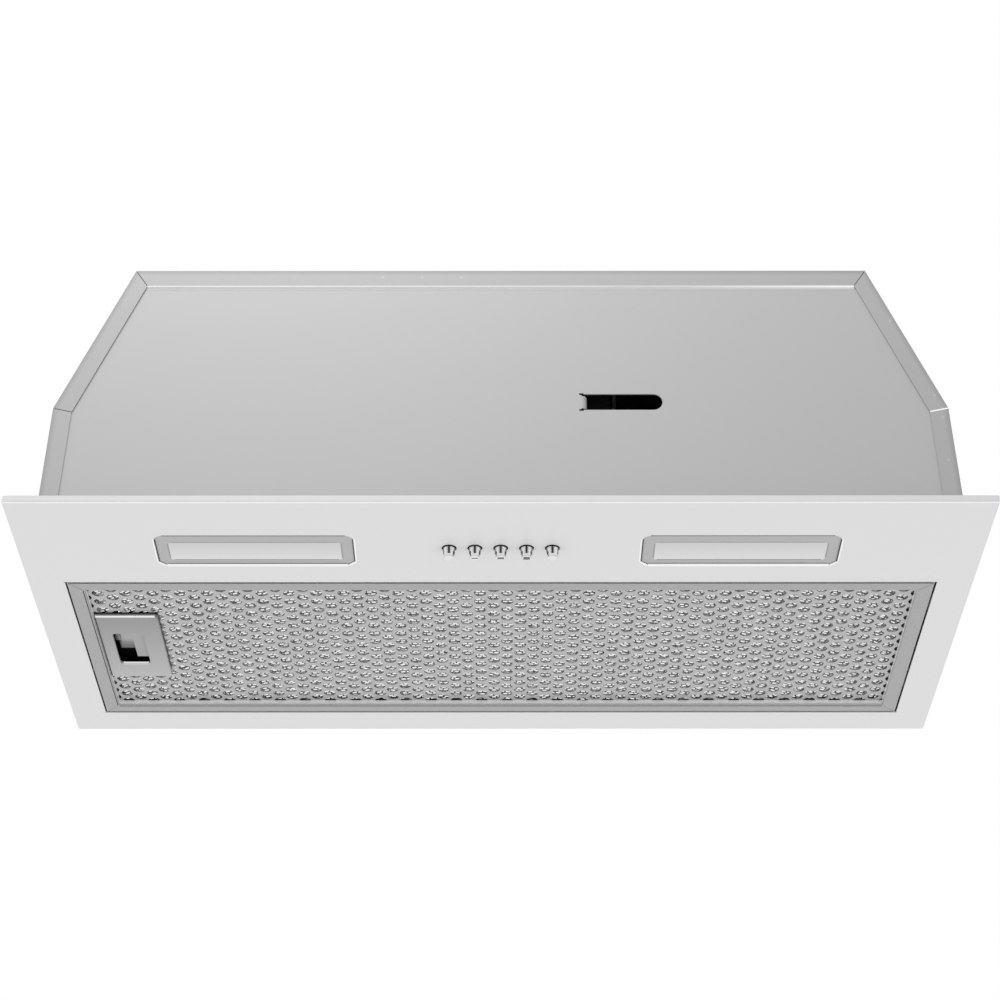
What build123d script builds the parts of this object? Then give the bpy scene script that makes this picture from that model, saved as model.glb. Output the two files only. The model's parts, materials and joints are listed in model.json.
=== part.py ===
from build123d import *
from math import cos, hypot, pi, radians, sin
import os

# Under-cabinet range hood, in millimetres.
# The origin is the middle of the face panel's seat, which meets the cabinet's underside.
# +X runs to the right as seen from the controls, +Y to the back and +Z up into the cabinet.

# Face panel, a shallow folded tray that hangs below the cabinet
panel_width = 525.0
panel_depth = 280.0
panel_rim = 4.0
panel_corner = 1.5
seat_flange = 10.0
sheet = 0.8
lug_width = 14.0
lug_height = 14.0
lug_spacing = 180.0
lug_thickness = 1.2
lug_screw_rise = 9.1
bend_round = 0.72

# Casing, a wrapped sheet with flanged ends that are closed by two plates
casing_side_setback = 15.5
casing_end_setback = 16.0
casing_height = 156.0
shoulder_height = 64.5
shoulder_inset = 3.3
roof_inset = 42.0
flange_width = 10.3
flange_slit = 0.5
plate_gap = 0.1
foot_depth = 12.0
foot_stud_setback = 7.0
foot_end_gap = 2.4

# Holes in the casing: the mains lead's slot and the screws into the cabinet
slot_x = 66.2
slot_z = 69.0
slot_length = 44.2
slot_height = 10.2
tongue_depth = 9.0
tongue_bend = 3.0
tongue_relief = 1.2
side_hole_radius = 2.25
side_hole_height = 9.0
side_hole_spacing = 160.0

# Fasteners
stud_radius = 2.0
stud_length = 9.0
nut_flats = 7.0
nut_height = 3.2
screw_radius = 1.5
screw_head_radius = 3.4
screw_head_height = 1.8
screw_length = 7.0
screw_slot = 0.9
hole_clearance = 0.2
thread_fit = 0.03

# Light modules
lamp_x = 131.8
lamp_offset = -1.5
lamp_setback = 52.2
lamp_length = 107.0
lamp_depth = 32.3
lamp_corner = 4.5
lamp_gap = 0.4
lamp_recess = 0.4
lamp_lip = 3.0
lamp_lip_thickness = 1.0
bezel_border = 6.5
bezel_thickness = 1.8
lens_gap = 0.15
lens_setback = 1.6
lens_lip = 1.6
lens_lip_thickness = 1.2
housing_wall = 1.4
housing_height = 11.0
board_thickness = 1.2
board_margin = 3.0
diode_size = 3.0
diode_height = 0.7
diode_count = 8

# Push buttons and their switch block
button_names = ("off", "speed_low", "speed_mid", "speed_high", "light")
button_setback = 49.8
button_pitch = 14.0
button_radius = 3.5
button_tip_radius = 2.8
button_stand = 6.2
button_round = 0.5
button_hole_gap = 0.6
button_travel = 3.0
button_collar = 1.4
button_collar_thickness = 1.6
button_seat_gap = 0.1
stem_radius = 1.6
stem_clearance = 0.4
bore_clearance = 0.4
bore_depth = 15.0
block_wall = 3.0
block_roof = 2.0
ear_length = 12.0
ear_thickness = 3.0
spring_wire = 0.6
spring_turns = 6
spring_end_gap = 0.15

# Electrics cover and what stands on it or hangs below it
cover_setback = 6.0
cover_clearance = 1.3
cover_end_gap = 1.5
cover_foot = 12.0
cover_foot_gap = 2.0
driver_length = 70.0
driver_depth = 26.0
driver_height = 9.0
driver_gap = 1.5
terminal_length = 80.0
terminal_depth = 44.0
terminal_height = 32.0
terminal_wall = 2.0
terminal_lid = 3.0
capacitor_radius = 15.0
capacitor_length = 58.0
clip_width = 14.0
clip_gap = 0.35
clip_foot = 8.0

# Blower: a double-inlet wheel on a cross axis, blowing up through the roof
blower_clearance = 3.0
roof_gap = 8.0
volute_wall = 1.8
scroll_step = 8.0
scroll_gap = 10.0
tongue_offset = 8.0
wheel_width = 110.0
wheel_end_gap = 4.0
wheel_ring = 3.0
wheel_disc = 1.6
blade_count = 36
blade_depth = 8.5
blade_thickness = 0.8
blade_bulge = 1.6
hub_radius = 9.0
hub_length = 14.0
shaft_radius = 4.0
shaft_clearance = 0.05
shaft_grip = 20.0
shaft_nut_height = 5.0
shaft_nut_flats = 13.0
shaft_stand = 1.0
inlet_margin = 2.0
motor_clearance = 7.0
motor_gap = 6.0
bracket_thickness = 2.0
bracket_arm = 12.0
grommet_radius = 5.0
grommet_height = 3.0
grommet_margin = 9.0
mount_tab_depth = 14.0
mount_tab_thickness = 2.4
mount_tab_margin = 2.0

# Outlet collar with two back-draft flaps on one axle
duct_diameter = 120.0
duct_fit = 0.5
collar_y = 8.0
collar_height = 40.0
collar_wall = 1.5
collar_flange = 10.0
collar_flange_thickness = 2.0
ledge_width = 3.5
ledge_thickness = 2.0
flap_thickness = 1.2
flap_gap = 1.0
flap_lift = 0.3
axle_radius = 1.5
axle_fit = 0.06
knuckle_wall = 1.3
knuckle_length = 18.0
knuckle_gap = 1.5

# Grease filter, hung on two hooks at the right and latched at the left
filter_side_margin = 20.9
filter_front_margin = 89.3
filter_rear_margin = 25.0
filter_gap = 1.15
filter_height = 11.0
frame_lip = 8.3
frame_round = 1.0
mesh_recess = 3.5
skin_thickness = 0.6
mesh_column_pitch = 15.46
mesh_hole_pitch = 19.72
mesh_hole_radius = 6.8
mesh_border = 1.5
filter_play = 0.3
core_pitch = 12.0
core_foil = 0.3
core_gap = 0.05
hook_width = 22.0
hook_spacing = 100.0
hook_sheet = 0.8
hook_pin_radius = 1.0
hook_pin_setback = 2.0
hook_pin_gap = 0.15
hook_rise = 4.0
hook_leaf = 4.4

# Filter latch
latch_width = 35.9
latch_length = 76.7
latch_shift = -1.3
latch_gap = 1.0
latch_stand = 2.0
latch_edge = 0.8
latch_wall = 1.4
latch_corner = 3.0
window_width = 17.9
window_length = 38.3
window_shift = -1.5
window_back = 1.9
window_corner = 2.0
case_inset = 3.0
case_wall = 1.0
case_height = 5.9
tab_thickness = 1.2
tab_front_length = 12.2
tab_front_width = 14.2
tab_side_width = 6.8
tab_rear_gap = 6.1
tab_round = 0.9
bolt_width = 14.0
bolt_thickness = 2.6
bolt_grip = 2.2
bolt_play = 0.35
latch_spring_radius = 1.1
latch_spring_wire = 0.4
latch_spring_turns = 4
strike_length = 26.0

# Internal wiring
lead_radius = 2.0
lead_bend = 8.0
lead_rise = 10.0
lead_edge_gap = 3.0

os.makedirs("parts", exist_ok=True)


def save(piece, name):
    """Label a finished piece and write it under its own name."""
    piece.part.label = name
    export_step(piece.part, f"parts/{name}.step")


def block(x_span, y_span, z_span, mode=Mode.ADD):
    """A box between two limits on each axis, in the part being built."""
    middle = (sum(x_span) / 2, sum(y_span) / 2, sum(z_span) / 2)
    with Locations(middle):
        Box(x_span[1] - x_span[0], y_span[1] - y_span[0], z_span[1] - z_span[0], mode=mode)


def round_bar(start, end, radius, mode=Mode.ADD):
    """A cylinder from one point to another, in the part being built."""
    run = Vector(*end) - Vector(*start)
    with Locations(Plane(origin=start, z_dir=run).location):
        Cylinder(radius, run.length, align=(Align.CENTER, Align.CENTER, Align.MIN), mode=mode)


def screw_group(seats, direction):
    """Slotted pan-head screws whose heads sit on the seats and whose shanks run along direction."""
    shank = Vector(*direction)
    with BuildPart() as screws:
        for seat in seats:
            head_top = Vector(*seat) - shank * screw_head_height
            round_bar(tuple(head_top), seat, screw_head_radius)
            round_bar(seat, tuple(Vector(*seat) + shank * screw_length), screw_radius)
            with Locations(Plane(origin=head_top, z_dir=shank).location):
                Box(2 * screw_head_radius, screw_slot, screw_head_height, mode=Mode.SUBTRACT)
    return screws


# Levels and limits that several pieces share
panel_face_z = -panel_rim
panel_inner_z = panel_face_z + sheet
panel_half_depth = panel_depth / 2
base_half = panel_width / 2 - casing_side_setback
shoulder_half = base_half - shoulder_inset
roof_half = base_half - roof_inset
end_y = panel_half_depth - casing_end_setback
plate_outer_y = end_y - sheet
plate_inner_y = plate_outer_y - sheet
roof_inner_z = casing_height - sheet
side_slant = (shoulder_half - base_half) / (shoulder_height - panel_inner_z)
slope_slant = (roof_half - shoulder_half) / (casing_height - shoulder_height)


def casing_points(inset, floor_z):
    """The casing's outline in X and Z, moved inwards by inset and cut off level at floor_z."""
    side_x = base_half - inset * hypot(1, side_slant)
    slope_x = shoulder_half - inset * hypot(1, slope_slant)
    knee_z = (side_x - slope_x + slope_slant * shoulder_height - side_slant * panel_inner_z)
    knee_z = knee_z / (slope_slant - side_slant)
    knee_x = side_x + side_slant * (knee_z - panel_inner_z)
    top_z = casing_height - inset
    top_x = slope_x + slope_slant * (top_z - shoulder_height)
    floor_x = side_x + side_slant * (floor_z - panel_inner_z)
    right = [(floor_x, floor_z), (knee_x, knee_z), (top_x, top_z)]
    return right + [(-x, z) for x, z in reversed(right)]


# Places of the filter, lights and buttons on the panel
filter_half = panel_width / 2 - filter_side_margin
filter_front_y = -panel_half_depth + filter_front_margin
filter_rear_y = panel_half_depth - filter_rear_margin
filter_y = (filter_front_y + filter_rear_y) / 2
filter_depth = filter_rear_y - filter_front_y
opening_half = filter_half + filter_gap
lamp_y = -panel_half_depth + lamp_setback
lamp_places = {"left": (lamp_offset - lamp_x, lamp_y), "right": (lamp_offset + lamp_x, lamp_y)}
button_y = -panel_half_depth + button_setback
button_xs = [(i - (len(button_names) - 1) / 2) * button_pitch for i in range(len(button_names))]
button_hole_radius = button_radius + button_hole_gap
lug_xs = (-lug_spacing, 0, lug_spacing)
lug_screw_z = panel_inner_z + lug_screw_rise
lug_inner_y = plate_inner_y - lug_thickness

# Studs on the panel: a row for the casing's foot, one for the cover's feet, two for the switch
cover_rear_y = filter_front_y - filter_gap - cover_setback
lamp_reach = lamp_length / 2 + lamp_lip
cover_foot_reach = lamp_reach + cover_foot / 2 + cover_foot_gap
cover_foot_xs = (lamp_x - cover_foot_reach, lamp_x + cover_foot_reach)
cover_foot_y = cover_rear_y - sheet - cover_foot / 2
plate_foot_y = -plate_outer_y + foot_stud_setback
bore_radius = button_radius + button_collar + bore_clearance
block_half_length = button_xs[-1] + bore_radius + block_wall
block_half_depth = bore_radius + block_wall
ear_stud_x = block_half_length + ear_length / 2
plate_foot_studs = [(sx * x, plate_foot_y) for sx in (-1, 1) for x in cover_foot_xs]
cover_studs = [(sx * x, cover_foot_y) for sx in (-1, 1) for x in cover_foot_xs]
switch_studs = [(-ear_stud_x, button_y), (ear_stud_x, button_y)]
stud_places = plate_foot_studs + cover_studs + switch_studs

# Face panel
with BuildPart() as face_panel:
    with BuildSketch(Plane.XY.offset(panel_face_z)):
        RectangleRounded(panel_width, panel_depth, panel_corner)
    extrude(amount=panel_rim)
    fillet(face_panel.faces().sort_by(Axis.Z)[0].edges(), radius=bend_round)
    inner = (panel_width / 2 - sheet, panel_depth / 2 - sheet)
    block((-inner[0], inner[0]), (-inner[1], inner[1]), (panel_inner_z, -sheet), Mode.SUBTRACT)
    ring = (panel_width / 2 - seat_flange, panel_depth / 2 - seat_flange)
    block((-ring[0], ring[0]), (-ring[1], ring[1]), (-sheet, sheet), Mode.SUBTRACT)
    with BuildSketch(Plane.XY.offset(panel_face_z)):
        with Locations((0, filter_y)):
            Rectangle(2 * opening_half, filter_depth + 2 * filter_gap)
        with Locations(*lamp_places.values()):
            RectangleRounded(lamp_length, lamp_depth, lamp_corner)
        with Locations(*[(x, button_y) for x in button_xs]):
            Circle(button_hole_radius)
    extrude(amount=sheet, mode=Mode.SUBTRACT)
    for x in lug_xs:
        block((x - lug_width / 2, x + lug_width / 2), (lug_inner_y, plate_inner_y),
              (panel_inner_z, panel_inner_z + lug_height))
        round_bar((x, lug_inner_y, lug_screw_z), (x, plate_inner_y, lug_screw_z),
                  screw_radius + thread_fit, Mode.SUBTRACT)
save(face_panel, "face_panel")

# Collar and blower places that the roof's holes follow
collar_radius = duct_diameter / 2 - duct_fit
collar_bore = collar_radius - collar_wall
roof_hole_radius = collar_bore - ledge_width
flange_radius = collar_radius + collar_flange
collar_screw_circle = collar_radius + collar_flange / 2
collar_screw_xys = [(collar_screw_circle * cos(radians(a)), collar_y + collar_screw_circle * sin(radians(a)))
                    for a in (45, 135, 225, 315)]

bezel_face_z = panel_face_z + lamp_recess
bezel_top_z = bezel_face_z + bezel_thickness
housing_top_z = bezel_top_z + housing_height
block_top_z = panel_inner_z + bore_depth + button_travel + 2 * block_roof
cover_ceiling_z = max(housing_top_z + driver_gap + driver_height, block_top_z) + cover_clearance
cover_top_z = cover_ceiling_z + sheet
blower_floor_z = cover_top_z + blower_clearance
scroll_room = roof_inner_z - roof_gap - blower_floor_z
scroll_r1 = (scroll_room - scroll_step - 2 * volute_wall) / 2
scroll_r2 = scroll_r1 + scroll_step
scroll_r3 = scroll_r2 + scroll_step
wheel_radius = scroll_r1 - scroll_gap
axis_z = blower_floor_z + volute_wall + scroll_r2 + scroll_step / 2
mouth_half = (scroll_r3 + scroll_step / 2 - tongue_offset) / 2
axis_y = collar_y - tongue_offset - mouth_half
volute_inner_x = wheel_width / 2 + wheel_end_gap
volute_outer_x = volute_inner_x + volute_wall
mount_screw_reach = screw_head_radius + mount_tab_margin
mount_screw_x = max(flange_radius, volute_outer_x) + mount_screw_reach
mount_screw_y = mouth_half - mount_tab_depth / 2
mount_screw_xys = [(sx * mount_screw_x, collar_y + sy * mount_screw_y) for sx in (-1, 1) for sy in (-1, 1)]

# Casing wrap: sides, slopes and roof, with mitred flanges at both ends
with BuildPart() as casing_wrap:
    with BuildSketch(Plane.XZ):
        Polygon(*casing_points(0, panel_inner_z), align=None)
    extrude(amount=end_y, both=True)
    with BuildSketch(Plane.XZ):
        Polygon(*casing_points(sheet, panel_inner_z - sheet), align=None)
    extrude(amount=plate_outer_y, both=True, mode=Mode.SUBTRACT)
    with BuildSketch(Plane.XZ):
        Polygon(*casing_points(flange_width, panel_inner_z - sheet), align=None)
    extrude(amount=end_y + sheet, both=True, mode=Mode.SUBTRACT)
    for side in (-1, 1):
        with BuildSketch(Plane.XZ.offset(side * (end_y - sheet / 2))):
            outer_points = casing_points(sheet, panel_inner_z)
            inner_points = casing_points(flange_width + sheet, panel_inner_z)
            for corner in (1, 2, 3, 4):
                with BuildLine():
                    Line(outer_points[corner], inner_points[corner])
                trace(line_width=flange_slit)
        extrude(amount=sheet, both=True, mode=Mode.SUBTRACT)
    with BuildSketch(Plane.XY.offset(casing_height)):
        with Locations((0, collar_y)):
            Circle(roof_hole_radius)
        with Locations(*(collar_screw_xys + mount_screw_xys)):
            Circle(screw_radius + hole_clearance)
    extrude(amount=-2 * sheet, mode=Mode.SUBTRACT)
    for y in (-side_hole_spacing / 2, side_hole_spacing / 2):
        round_bar((-panel_width / 2, y, side_hole_height), (panel_width / 2, y, side_hole_height),
                  side_hole_radius, Mode.SUBTRACT)
save(casing_wrap, "casing_wrap")

# Front plate, with the mains lead's slot, a tongue bent inwards from it and a foot on the panel
plate_outline = casing_points(sheet + plate_gap, panel_inner_z)
foot_half = base_half - foot_end_gap
with BuildPart() as front_plate:
    with BuildSketch(Plane.XZ.offset(plate_inner_y)):
        Polygon(*plate_outline, align=None)
        slot_left = slot_x - slot_length / 2
        slot_round_x = slot_x + slot_length / 2 - slot_height / 2
        with Locations(((slot_left + slot_round_x) / 2, slot_z)):
            Rectangle(slot_round_x - slot_left, slot_height, mode=Mode.SUBTRACT)
        with Locations((slot_round_x, slot_z)):
            Circle(slot_height / 2, mode=Mode.SUBTRACT)
        with Locations((slot_left, slot_z - slot_height / 2), (slot_left, slot_z + slot_height / 2)):
            Rectangle(2 * tongue_relief, tongue_relief, mode=Mode.SUBTRACT)
    extrude(amount=sheet)
    bend_y = -plate_outer_y + tongue_bend
    bend_x = slot_left + tongue_bend
    with BuildSketch(Plane.XY.offset(slot_z - slot_height / 2 + tongue_relief)):
        with BuildLine():
            outer_bend = CenterArc((slot_left, bend_y), tongue_bend, -90, 90)
            inner_bend = CenterArc((slot_left, bend_y), tongue_bend - sheet, -90, 90)
            Polyline(outer_bend @ 1, (bend_x, bend_y + tongue_depth), (bend_x - sheet, bend_y + tongue_depth),
                     inner_bend @ 1)
            Polyline(outer_bend @ 0, (slot_left - sheet, -plate_outer_y), (slot_left - sheet, -plate_inner_y),
                     inner_bend @ 0)
        make_face()
    extrude(amount=slot_height - 2 * tongue_relief)
    block((-foot_half, foot_half), (-plate_outer_y, -plate_outer_y + foot_depth),
          (panel_inner_z, panel_inner_z + sheet))
    for x, y in plate_foot_studs:
        round_bar((x, y, panel_inner_z), (x, y, panel_inner_z + sheet),
                  stud_radius + hole_clearance, Mode.SUBTRACT)
save(front_plate, "front_plate")

# Rear plate
with BuildPart() as rear_plate:
    with BuildSketch(Plane.XZ.offset(-plate_outer_y)):
        Polygon(*plate_outline, align=None)
        with Locations(*[(x, lug_screw_z) for x in lug_xs]):
            Circle(screw_radius + hole_clearance, mode=Mode.SUBTRACT)
    extrude(amount=sheet)
save(rear_plate, "rear_plate")
save(screw_group([(x, plate_outer_y, lug_screw_z) for x in lug_xs], (0, -1, 0)), "rear_screws")

# Welded studs and their nuts
foot_top_z = panel_inner_z + sheet
ear_top_z = panel_inner_z + ear_thickness
nut_seats = [(x, y, foot_top_z) for x, y in plate_foot_studs + cover_studs]
nut_seats += [(x, y, ear_top_z) for x, y in switch_studs]
with BuildPart() as panel_studs:
    for x, y in stud_places:
        round_bar((x, y, panel_inner_z), (x, y, panel_inner_z + stud_length), stud_radius)
save(panel_studs, "panel_studs")
with BuildPart() as stud_nuts:
    for seat in nut_seats:
        with BuildSketch(Plane(origin=seat)):
            RegularPolygon(nut_flats / 2, 6, major_radius=False)
            Circle(stud_radius + thread_fit, mode=Mode.SUBTRACT)
        extrude(amount=nut_height)
save(stud_nuts, "stud_nuts")

# Electrics cover: a folded sheet that keeps the lights and switches out of the air stream
cover_half = shoulder_half - sheet - cover_end_gap
switch_lead_x = block_half_length - lead_radius - lead_edge_gap
with BuildPart() as electrics_cover:
    block((-cover_half, cover_half), (-plate_inner_y, cover_rear_y), (cover_ceiling_z, cover_top_z))
    block((-cover_half, cover_half), (cover_rear_y - sheet, cover_rear_y), (panel_inner_z, cover_top_z))
    for x, y in cover_studs:
        block((x - cover_foot / 2, x + cover_foot / 2), (y - cover_foot / 2, cover_rear_y),
              (panel_inner_z, foot_top_z))
        round_bar((x, y, panel_inner_z), (x, y, foot_top_z), stud_radius + hole_clearance, Mode.SUBTRACT)
    round_bar((switch_lead_x, button_y, cover_ceiling_z), (switch_lead_x, button_y, cover_top_z),
              lead_radius + hole_clearance, Mode.SUBTRACT)
save(electrics_cover, "electrics_cover")

# Light modules
lens_length = lamp_length - 2 * bezel_border
lens_depth = lamp_depth - 2 * bezel_border
lens_corner = lamp_corner / 2
bezel_length = lamp_length - 2 * lamp_gap
bezel_depth = lamp_depth - 2 * lamp_gap
housing_length = bezel_length - 2 * housing_wall
housing_depth = bezel_depth - 2 * housing_wall
cavity_length = housing_length - 2 * housing_wall
cavity_depth = housing_depth - 2 * housing_wall
board_top_z = housing_top_z - housing_wall
board_length = cavity_length - 2 * board_margin
board_depth = cavity_depth - 2 * board_margin
for side, lamp_place in lamp_places.items():
    lens_place = (lamp_place[0], lamp_place[1] + lens_setback)
    with BuildPart() as light_bezel:
        with BuildSketch(Plane.XY.offset(bezel_face_z)):
            with Locations(lamp_place):
                RectangleRounded(bezel_length, bezel_depth, lamp_corner - lamp_gap)
        extrude(amount=bezel_thickness)
        with BuildSketch(Plane.XY.offset(panel_inner_z)):
            with Locations(lamp_place):
                RectangleRounded(lamp_length + 2 * lamp_lip, lamp_depth + 2 * lamp_lip, lamp_corner)
        extrude(amount=lamp_lip_thickness)
        with BuildSketch(Plane.XY.offset(bezel_face_z)):
            with Locations(lens_place):
                RectangleRounded(lens_length + 2 * lens_gap, lens_depth + 2 * lens_gap,
                                 lens_corner + lens_gap)
        extrude(amount=bezel_thickness, mode=Mode.SUBTRACT)
    save(light_bezel, f"light_bezel_{side}")

    with BuildPart() as light_lens:
        with BuildSketch(Plane.XY.offset(bezel_face_z)):
            with Locations(lens_place):
                RectangleRounded(lens_length, lens_depth, lens_corner)
        extrude(amount=bezel_thickness)
        with BuildSketch(Plane.XY.offset(bezel_top_z)):
            with Locations(lens_place):
                RectangleRounded(lens_length + 2 * lens_lip, lens_depth + 2 * lens_lip, lens_corner)
        extrude(amount=lens_lip_thickness)
    save(light_lens, f"light_lens_{side}")

    with BuildPart() as light_housing:
        with BuildSketch(Plane.XY.offset(bezel_top_z)):
            with Locations(lens_place):
                Rectangle(housing_length, housing_depth)
        extrude(amount=housing_height)
        with BuildSketch(Plane.XY.offset(bezel_top_z)):
            with Locations(lens_place):
                Rectangle(cavity_length, cavity_depth)
        extrude(amount=housing_height - housing_wall, mode=Mode.SUBTRACT)
    save(light_housing, f"light_housing_{side}")

    with BuildPart() as led_board:
        with BuildSketch(Plane.XY.offset(board_top_z)):
            with Locations(lens_place):
                Rectangle(board_length, board_depth)
        extrude(amount=-board_thickness)
        with BuildSketch(Plane.XY.offset(board_top_z - board_thickness)):
            with Locations(lens_place):
                with GridLocations(board_length / diode_count, 1, diode_count, 1):
                    Rectangle(diode_size, diode_size)
        extrude(amount=-diode_height)
    save(led_board, f"led_board_{side}")

with BuildPart() as led_driver:
    block((lamp_x - driver_length / 2, lamp_x + driver_length / 2),
          (lamp_y - driver_depth / 2, lamp_y + driver_depth / 2),
          (cover_ceiling_z - driver_height, cover_ceiling_z))
    chamfer(led_driver.edges().filter_by(Axis.Z), length=driver_height / 5)
save(led_driver, "led_driver")

# Switch block with a bore and a stem hole for each button
bore_roof_z = panel_inner_z + bore_depth
stem_top_z = bore_roof_z + block_roof / 2
stem_hole_top_z = stem_top_z + button_travel + block_roof / 2
with BuildPart() as switch_block:
    block((-block_half_length, block_half_length),
          (button_y - block_half_depth, button_y + block_half_depth), (panel_inner_z, block_top_z))
    block((-block_half_length - ear_length, block_half_length + ear_length),
          (button_y - ear_length / 2, button_y + ear_length / 2), (panel_inner_z, ear_top_z))
    for x in button_xs:
        round_bar((x, button_y, panel_inner_z), (x, button_y, bore_roof_z), bore_radius, Mode.SUBTRACT)
        round_bar((x, button_y, bore_roof_z), (x, button_y, stem_hole_top_z),
                  stem_radius + stem_clearance, Mode.SUBTRACT)
    for x, y in switch_studs:
        round_bar((x, y, panel_inner_z), (x, y, ear_top_z), stud_radius + hole_clearance, Mode.SUBTRACT)
save(switch_block, "switch_block")

# Buttons: a tapered cap, a collar that holds it in the block and a stem for its spring
button_tip_z = panel_face_z - button_stand
collar_low_z = panel_inner_z + button_seat_gap
collar_top_z = collar_low_z + button_collar_thickness
collar_reach = button_radius + button_collar
spring_radius = (stem_radius + stem_clearance + bore_radius) / 2
spring_low_z = collar_top_z + spring_wire / 2 + spring_end_gap
spring_high_z = bore_roof_z - spring_wire / 2 - spring_end_gap
for name, x in zip(button_names, button_xs):
    with BuildPart() as button:
        with BuildSketch(Plane.XZ.offset(-button_y)):
            with BuildLine():
                Polyline((x, button_tip_z), (x + button_tip_radius, button_tip_z),
                         (x + button_radius, panel_face_z), (x + button_radius, collar_low_z),
                         (x + collar_reach, collar_low_z), (x + collar_reach, collar_top_z),
                         (x + stem_radius, collar_top_z), (x + stem_radius, stem_top_z),
                         (x, stem_top_z), close=True)
            make_face()
        revolve(axis=Axis((x, button_y, 0), (0, 0, 1)))
        fillet(button.edges().group_by(Axis.Z)[0], radius=button_round)
    save(button, f"button_{name}")

    with BuildPart() as button_spring:
        with BuildLine() as coil:
            Helix((spring_high_z - spring_low_z) / spring_turns, spring_high_z - spring_low_z,
                  spring_radius, center=(x, button_y, spring_low_z))
        with BuildSketch(Plane(origin=coil.line @ 0, z_dir=coil.line % 0)):
            Circle(spring_wire / 2)
        sweep(is_frenet=True)
    save(button_spring, f"button_spring_{name}")

# Terminal box on the cover, with its lid
box_y = (cover_rear_y - plate_inner_y) / 2
box_x_span = (lamp_x - terminal_length / 2, lamp_x + terminal_length / 2)
box_y_span = (box_y - terminal_depth / 2, box_y + terminal_depth / 2)
box_top_z = cover_top_z + terminal_height
inlet_z = cover_top_z + terminal_height / 2
with BuildPart() as terminal_box:
    block(box_x_span, box_y_span, (cover_top_z, box_top_z))
    block((box_x_span[0] + terminal_wall, box_x_span[1] - terminal_wall),
          (box_y_span[0] + terminal_wall, box_y_span[1] - terminal_wall),
          (cover_top_z + terminal_wall, box_top_z), Mode.SUBTRACT)
    round_bar((box_x_span[0], box_y, inlet_z), (box_x_span[0] + terminal_wall, box_y, inlet_z),
              lead_radius + hole_clearance, Mode.SUBTRACT)
save(terminal_box, "terminal_box")
with BuildPart() as terminal_box_lid:
    block(box_x_span, box_y_span, (box_top_z, box_top_z + terminal_lid))
    chamfer(terminal_box_lid.faces().sort_by(Axis.Z)[-1].edges(), length=terminal_lid / 3)
save(terminal_box_lid, "terminal_box_lid")

# Motor capacitor in a saddle clip
can_z = cover_top_z + capacitor_radius + clip_gap
with BuildPart() as capacitor:
    round_bar((-lamp_x - capacitor_length / 2, box_y, can_z), (-lamp_x + capacitor_length / 2, box_y, can_z),
              capacitor_radius)
    fillet(capacitor.edges().filter_by(GeomType.CIRCLE), radius=capacitor_radius / 10)
save(capacitor, "capacitor")
clip_bore = capacitor_radius + clip_gap
clip_reach = clip_bore + sheet
with BuildPart() as capacitor_clip:
    with BuildSketch(Plane.YZ.offset(-lamp_x - clip_width / 2)):
        with Locations((box_y, can_z)):
            Circle(clip_reach)
        with Locations((box_y, (cover_top_z + can_z) / 2)):
            Rectangle(2 * clip_reach, can_z - cover_top_z)
        with Locations((box_y, cover_top_z)):
            Rectangle(2 * (clip_reach + clip_foot), sheet, align=(Align.CENTER, Align.MIN))
        with Locations((box_y, can_z)):
            Circle(clip_bore, mode=Mode.SUBTRACT)
        with Locations((box_y, can_z - clip_bore)):
            Rectangle(2 * clip_bore, 2 * clip_bore, mode=Mode.SUBTRACT)
    extrude(amount=clip_width)
save(capacitor_clip, "capacitor_clip")

# Volute: a scroll of three quarter arcs round the wheel, opening upwards, in two halves
blade_inner = wheel_radius - blade_depth
inlet_radius = blade_inner + inlet_margin
half_step = scroll_step / 2
arc_centres = ((axis_y - half_step, axis_z - half_step), (axis_y + half_step, axis_z - half_step),
               (axis_y + half_step, axis_z + half_step))
tongue_y = axis_y + tongue_offset
tongue_rise = (scroll_r1 ** 2 - (tongue_y - arc_centres[0][0]) ** 2) ** 0.5
scroll_tongue = (tongue_y, arc_centres[0][1] + tongue_rise)
scroll_front = (arc_centres[0][0] - scroll_r1, arc_centres[0][1])
scroll_bottom = (arc_centres[1][0], arc_centres[1][1] - scroll_r2)
scroll_rear = (arc_centres[2][0] + scroll_r3, arc_centres[2][1])
diagonal = sin(pi / 4)
mids = [(cy + sy * r * diagonal, cz + sz * r * diagonal) for (cy, cz), sy, sz, r in
        zip(arc_centres, (-1, -1, 1), (1, -1, -1), (scroll_r1, scroll_r2, scroll_r3))]
mouth_y = (tongue_y + scroll_rear[0]) / 2
with BuildSketch(Plane.YZ) as scroll:
    with BuildLine():
        ThreePointArc(scroll_tongue, mids[0], scroll_front)
        ThreePointArc(scroll_front, mids[1], scroll_bottom)
        ThreePointArc(scroll_bottom, mids[2], scroll_rear)
        Line(scroll_rear, scroll_tongue)
    make_face()
    with Locations((mouth_y, axis_z)):
        Rectangle(2 * mouth_half, roof_inner_z - axis_z, align=(Align.CENTER, Align.MIN))
with BuildSketch(Plane.YZ) as scroll_shell:
    add(scroll.sketch_local)
    offset(amount=volute_wall, kind=Kind.INTERSECTION)
    with Locations((mouth_y, roof_inner_z)):
        Rectangle(4 * scroll_r3, 4 * volute_wall, align=(Align.CENTER, Align.MIN), mode=Mode.SUBTRACT)
grommet_circle = inlet_radius + grommet_margin
grommet_yzs = [(axis_y + grommet_circle * cos(radians(a)), axis_z + grommet_circle * sin(radians(a)))
               for a in (30, 150, 270)]
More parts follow.
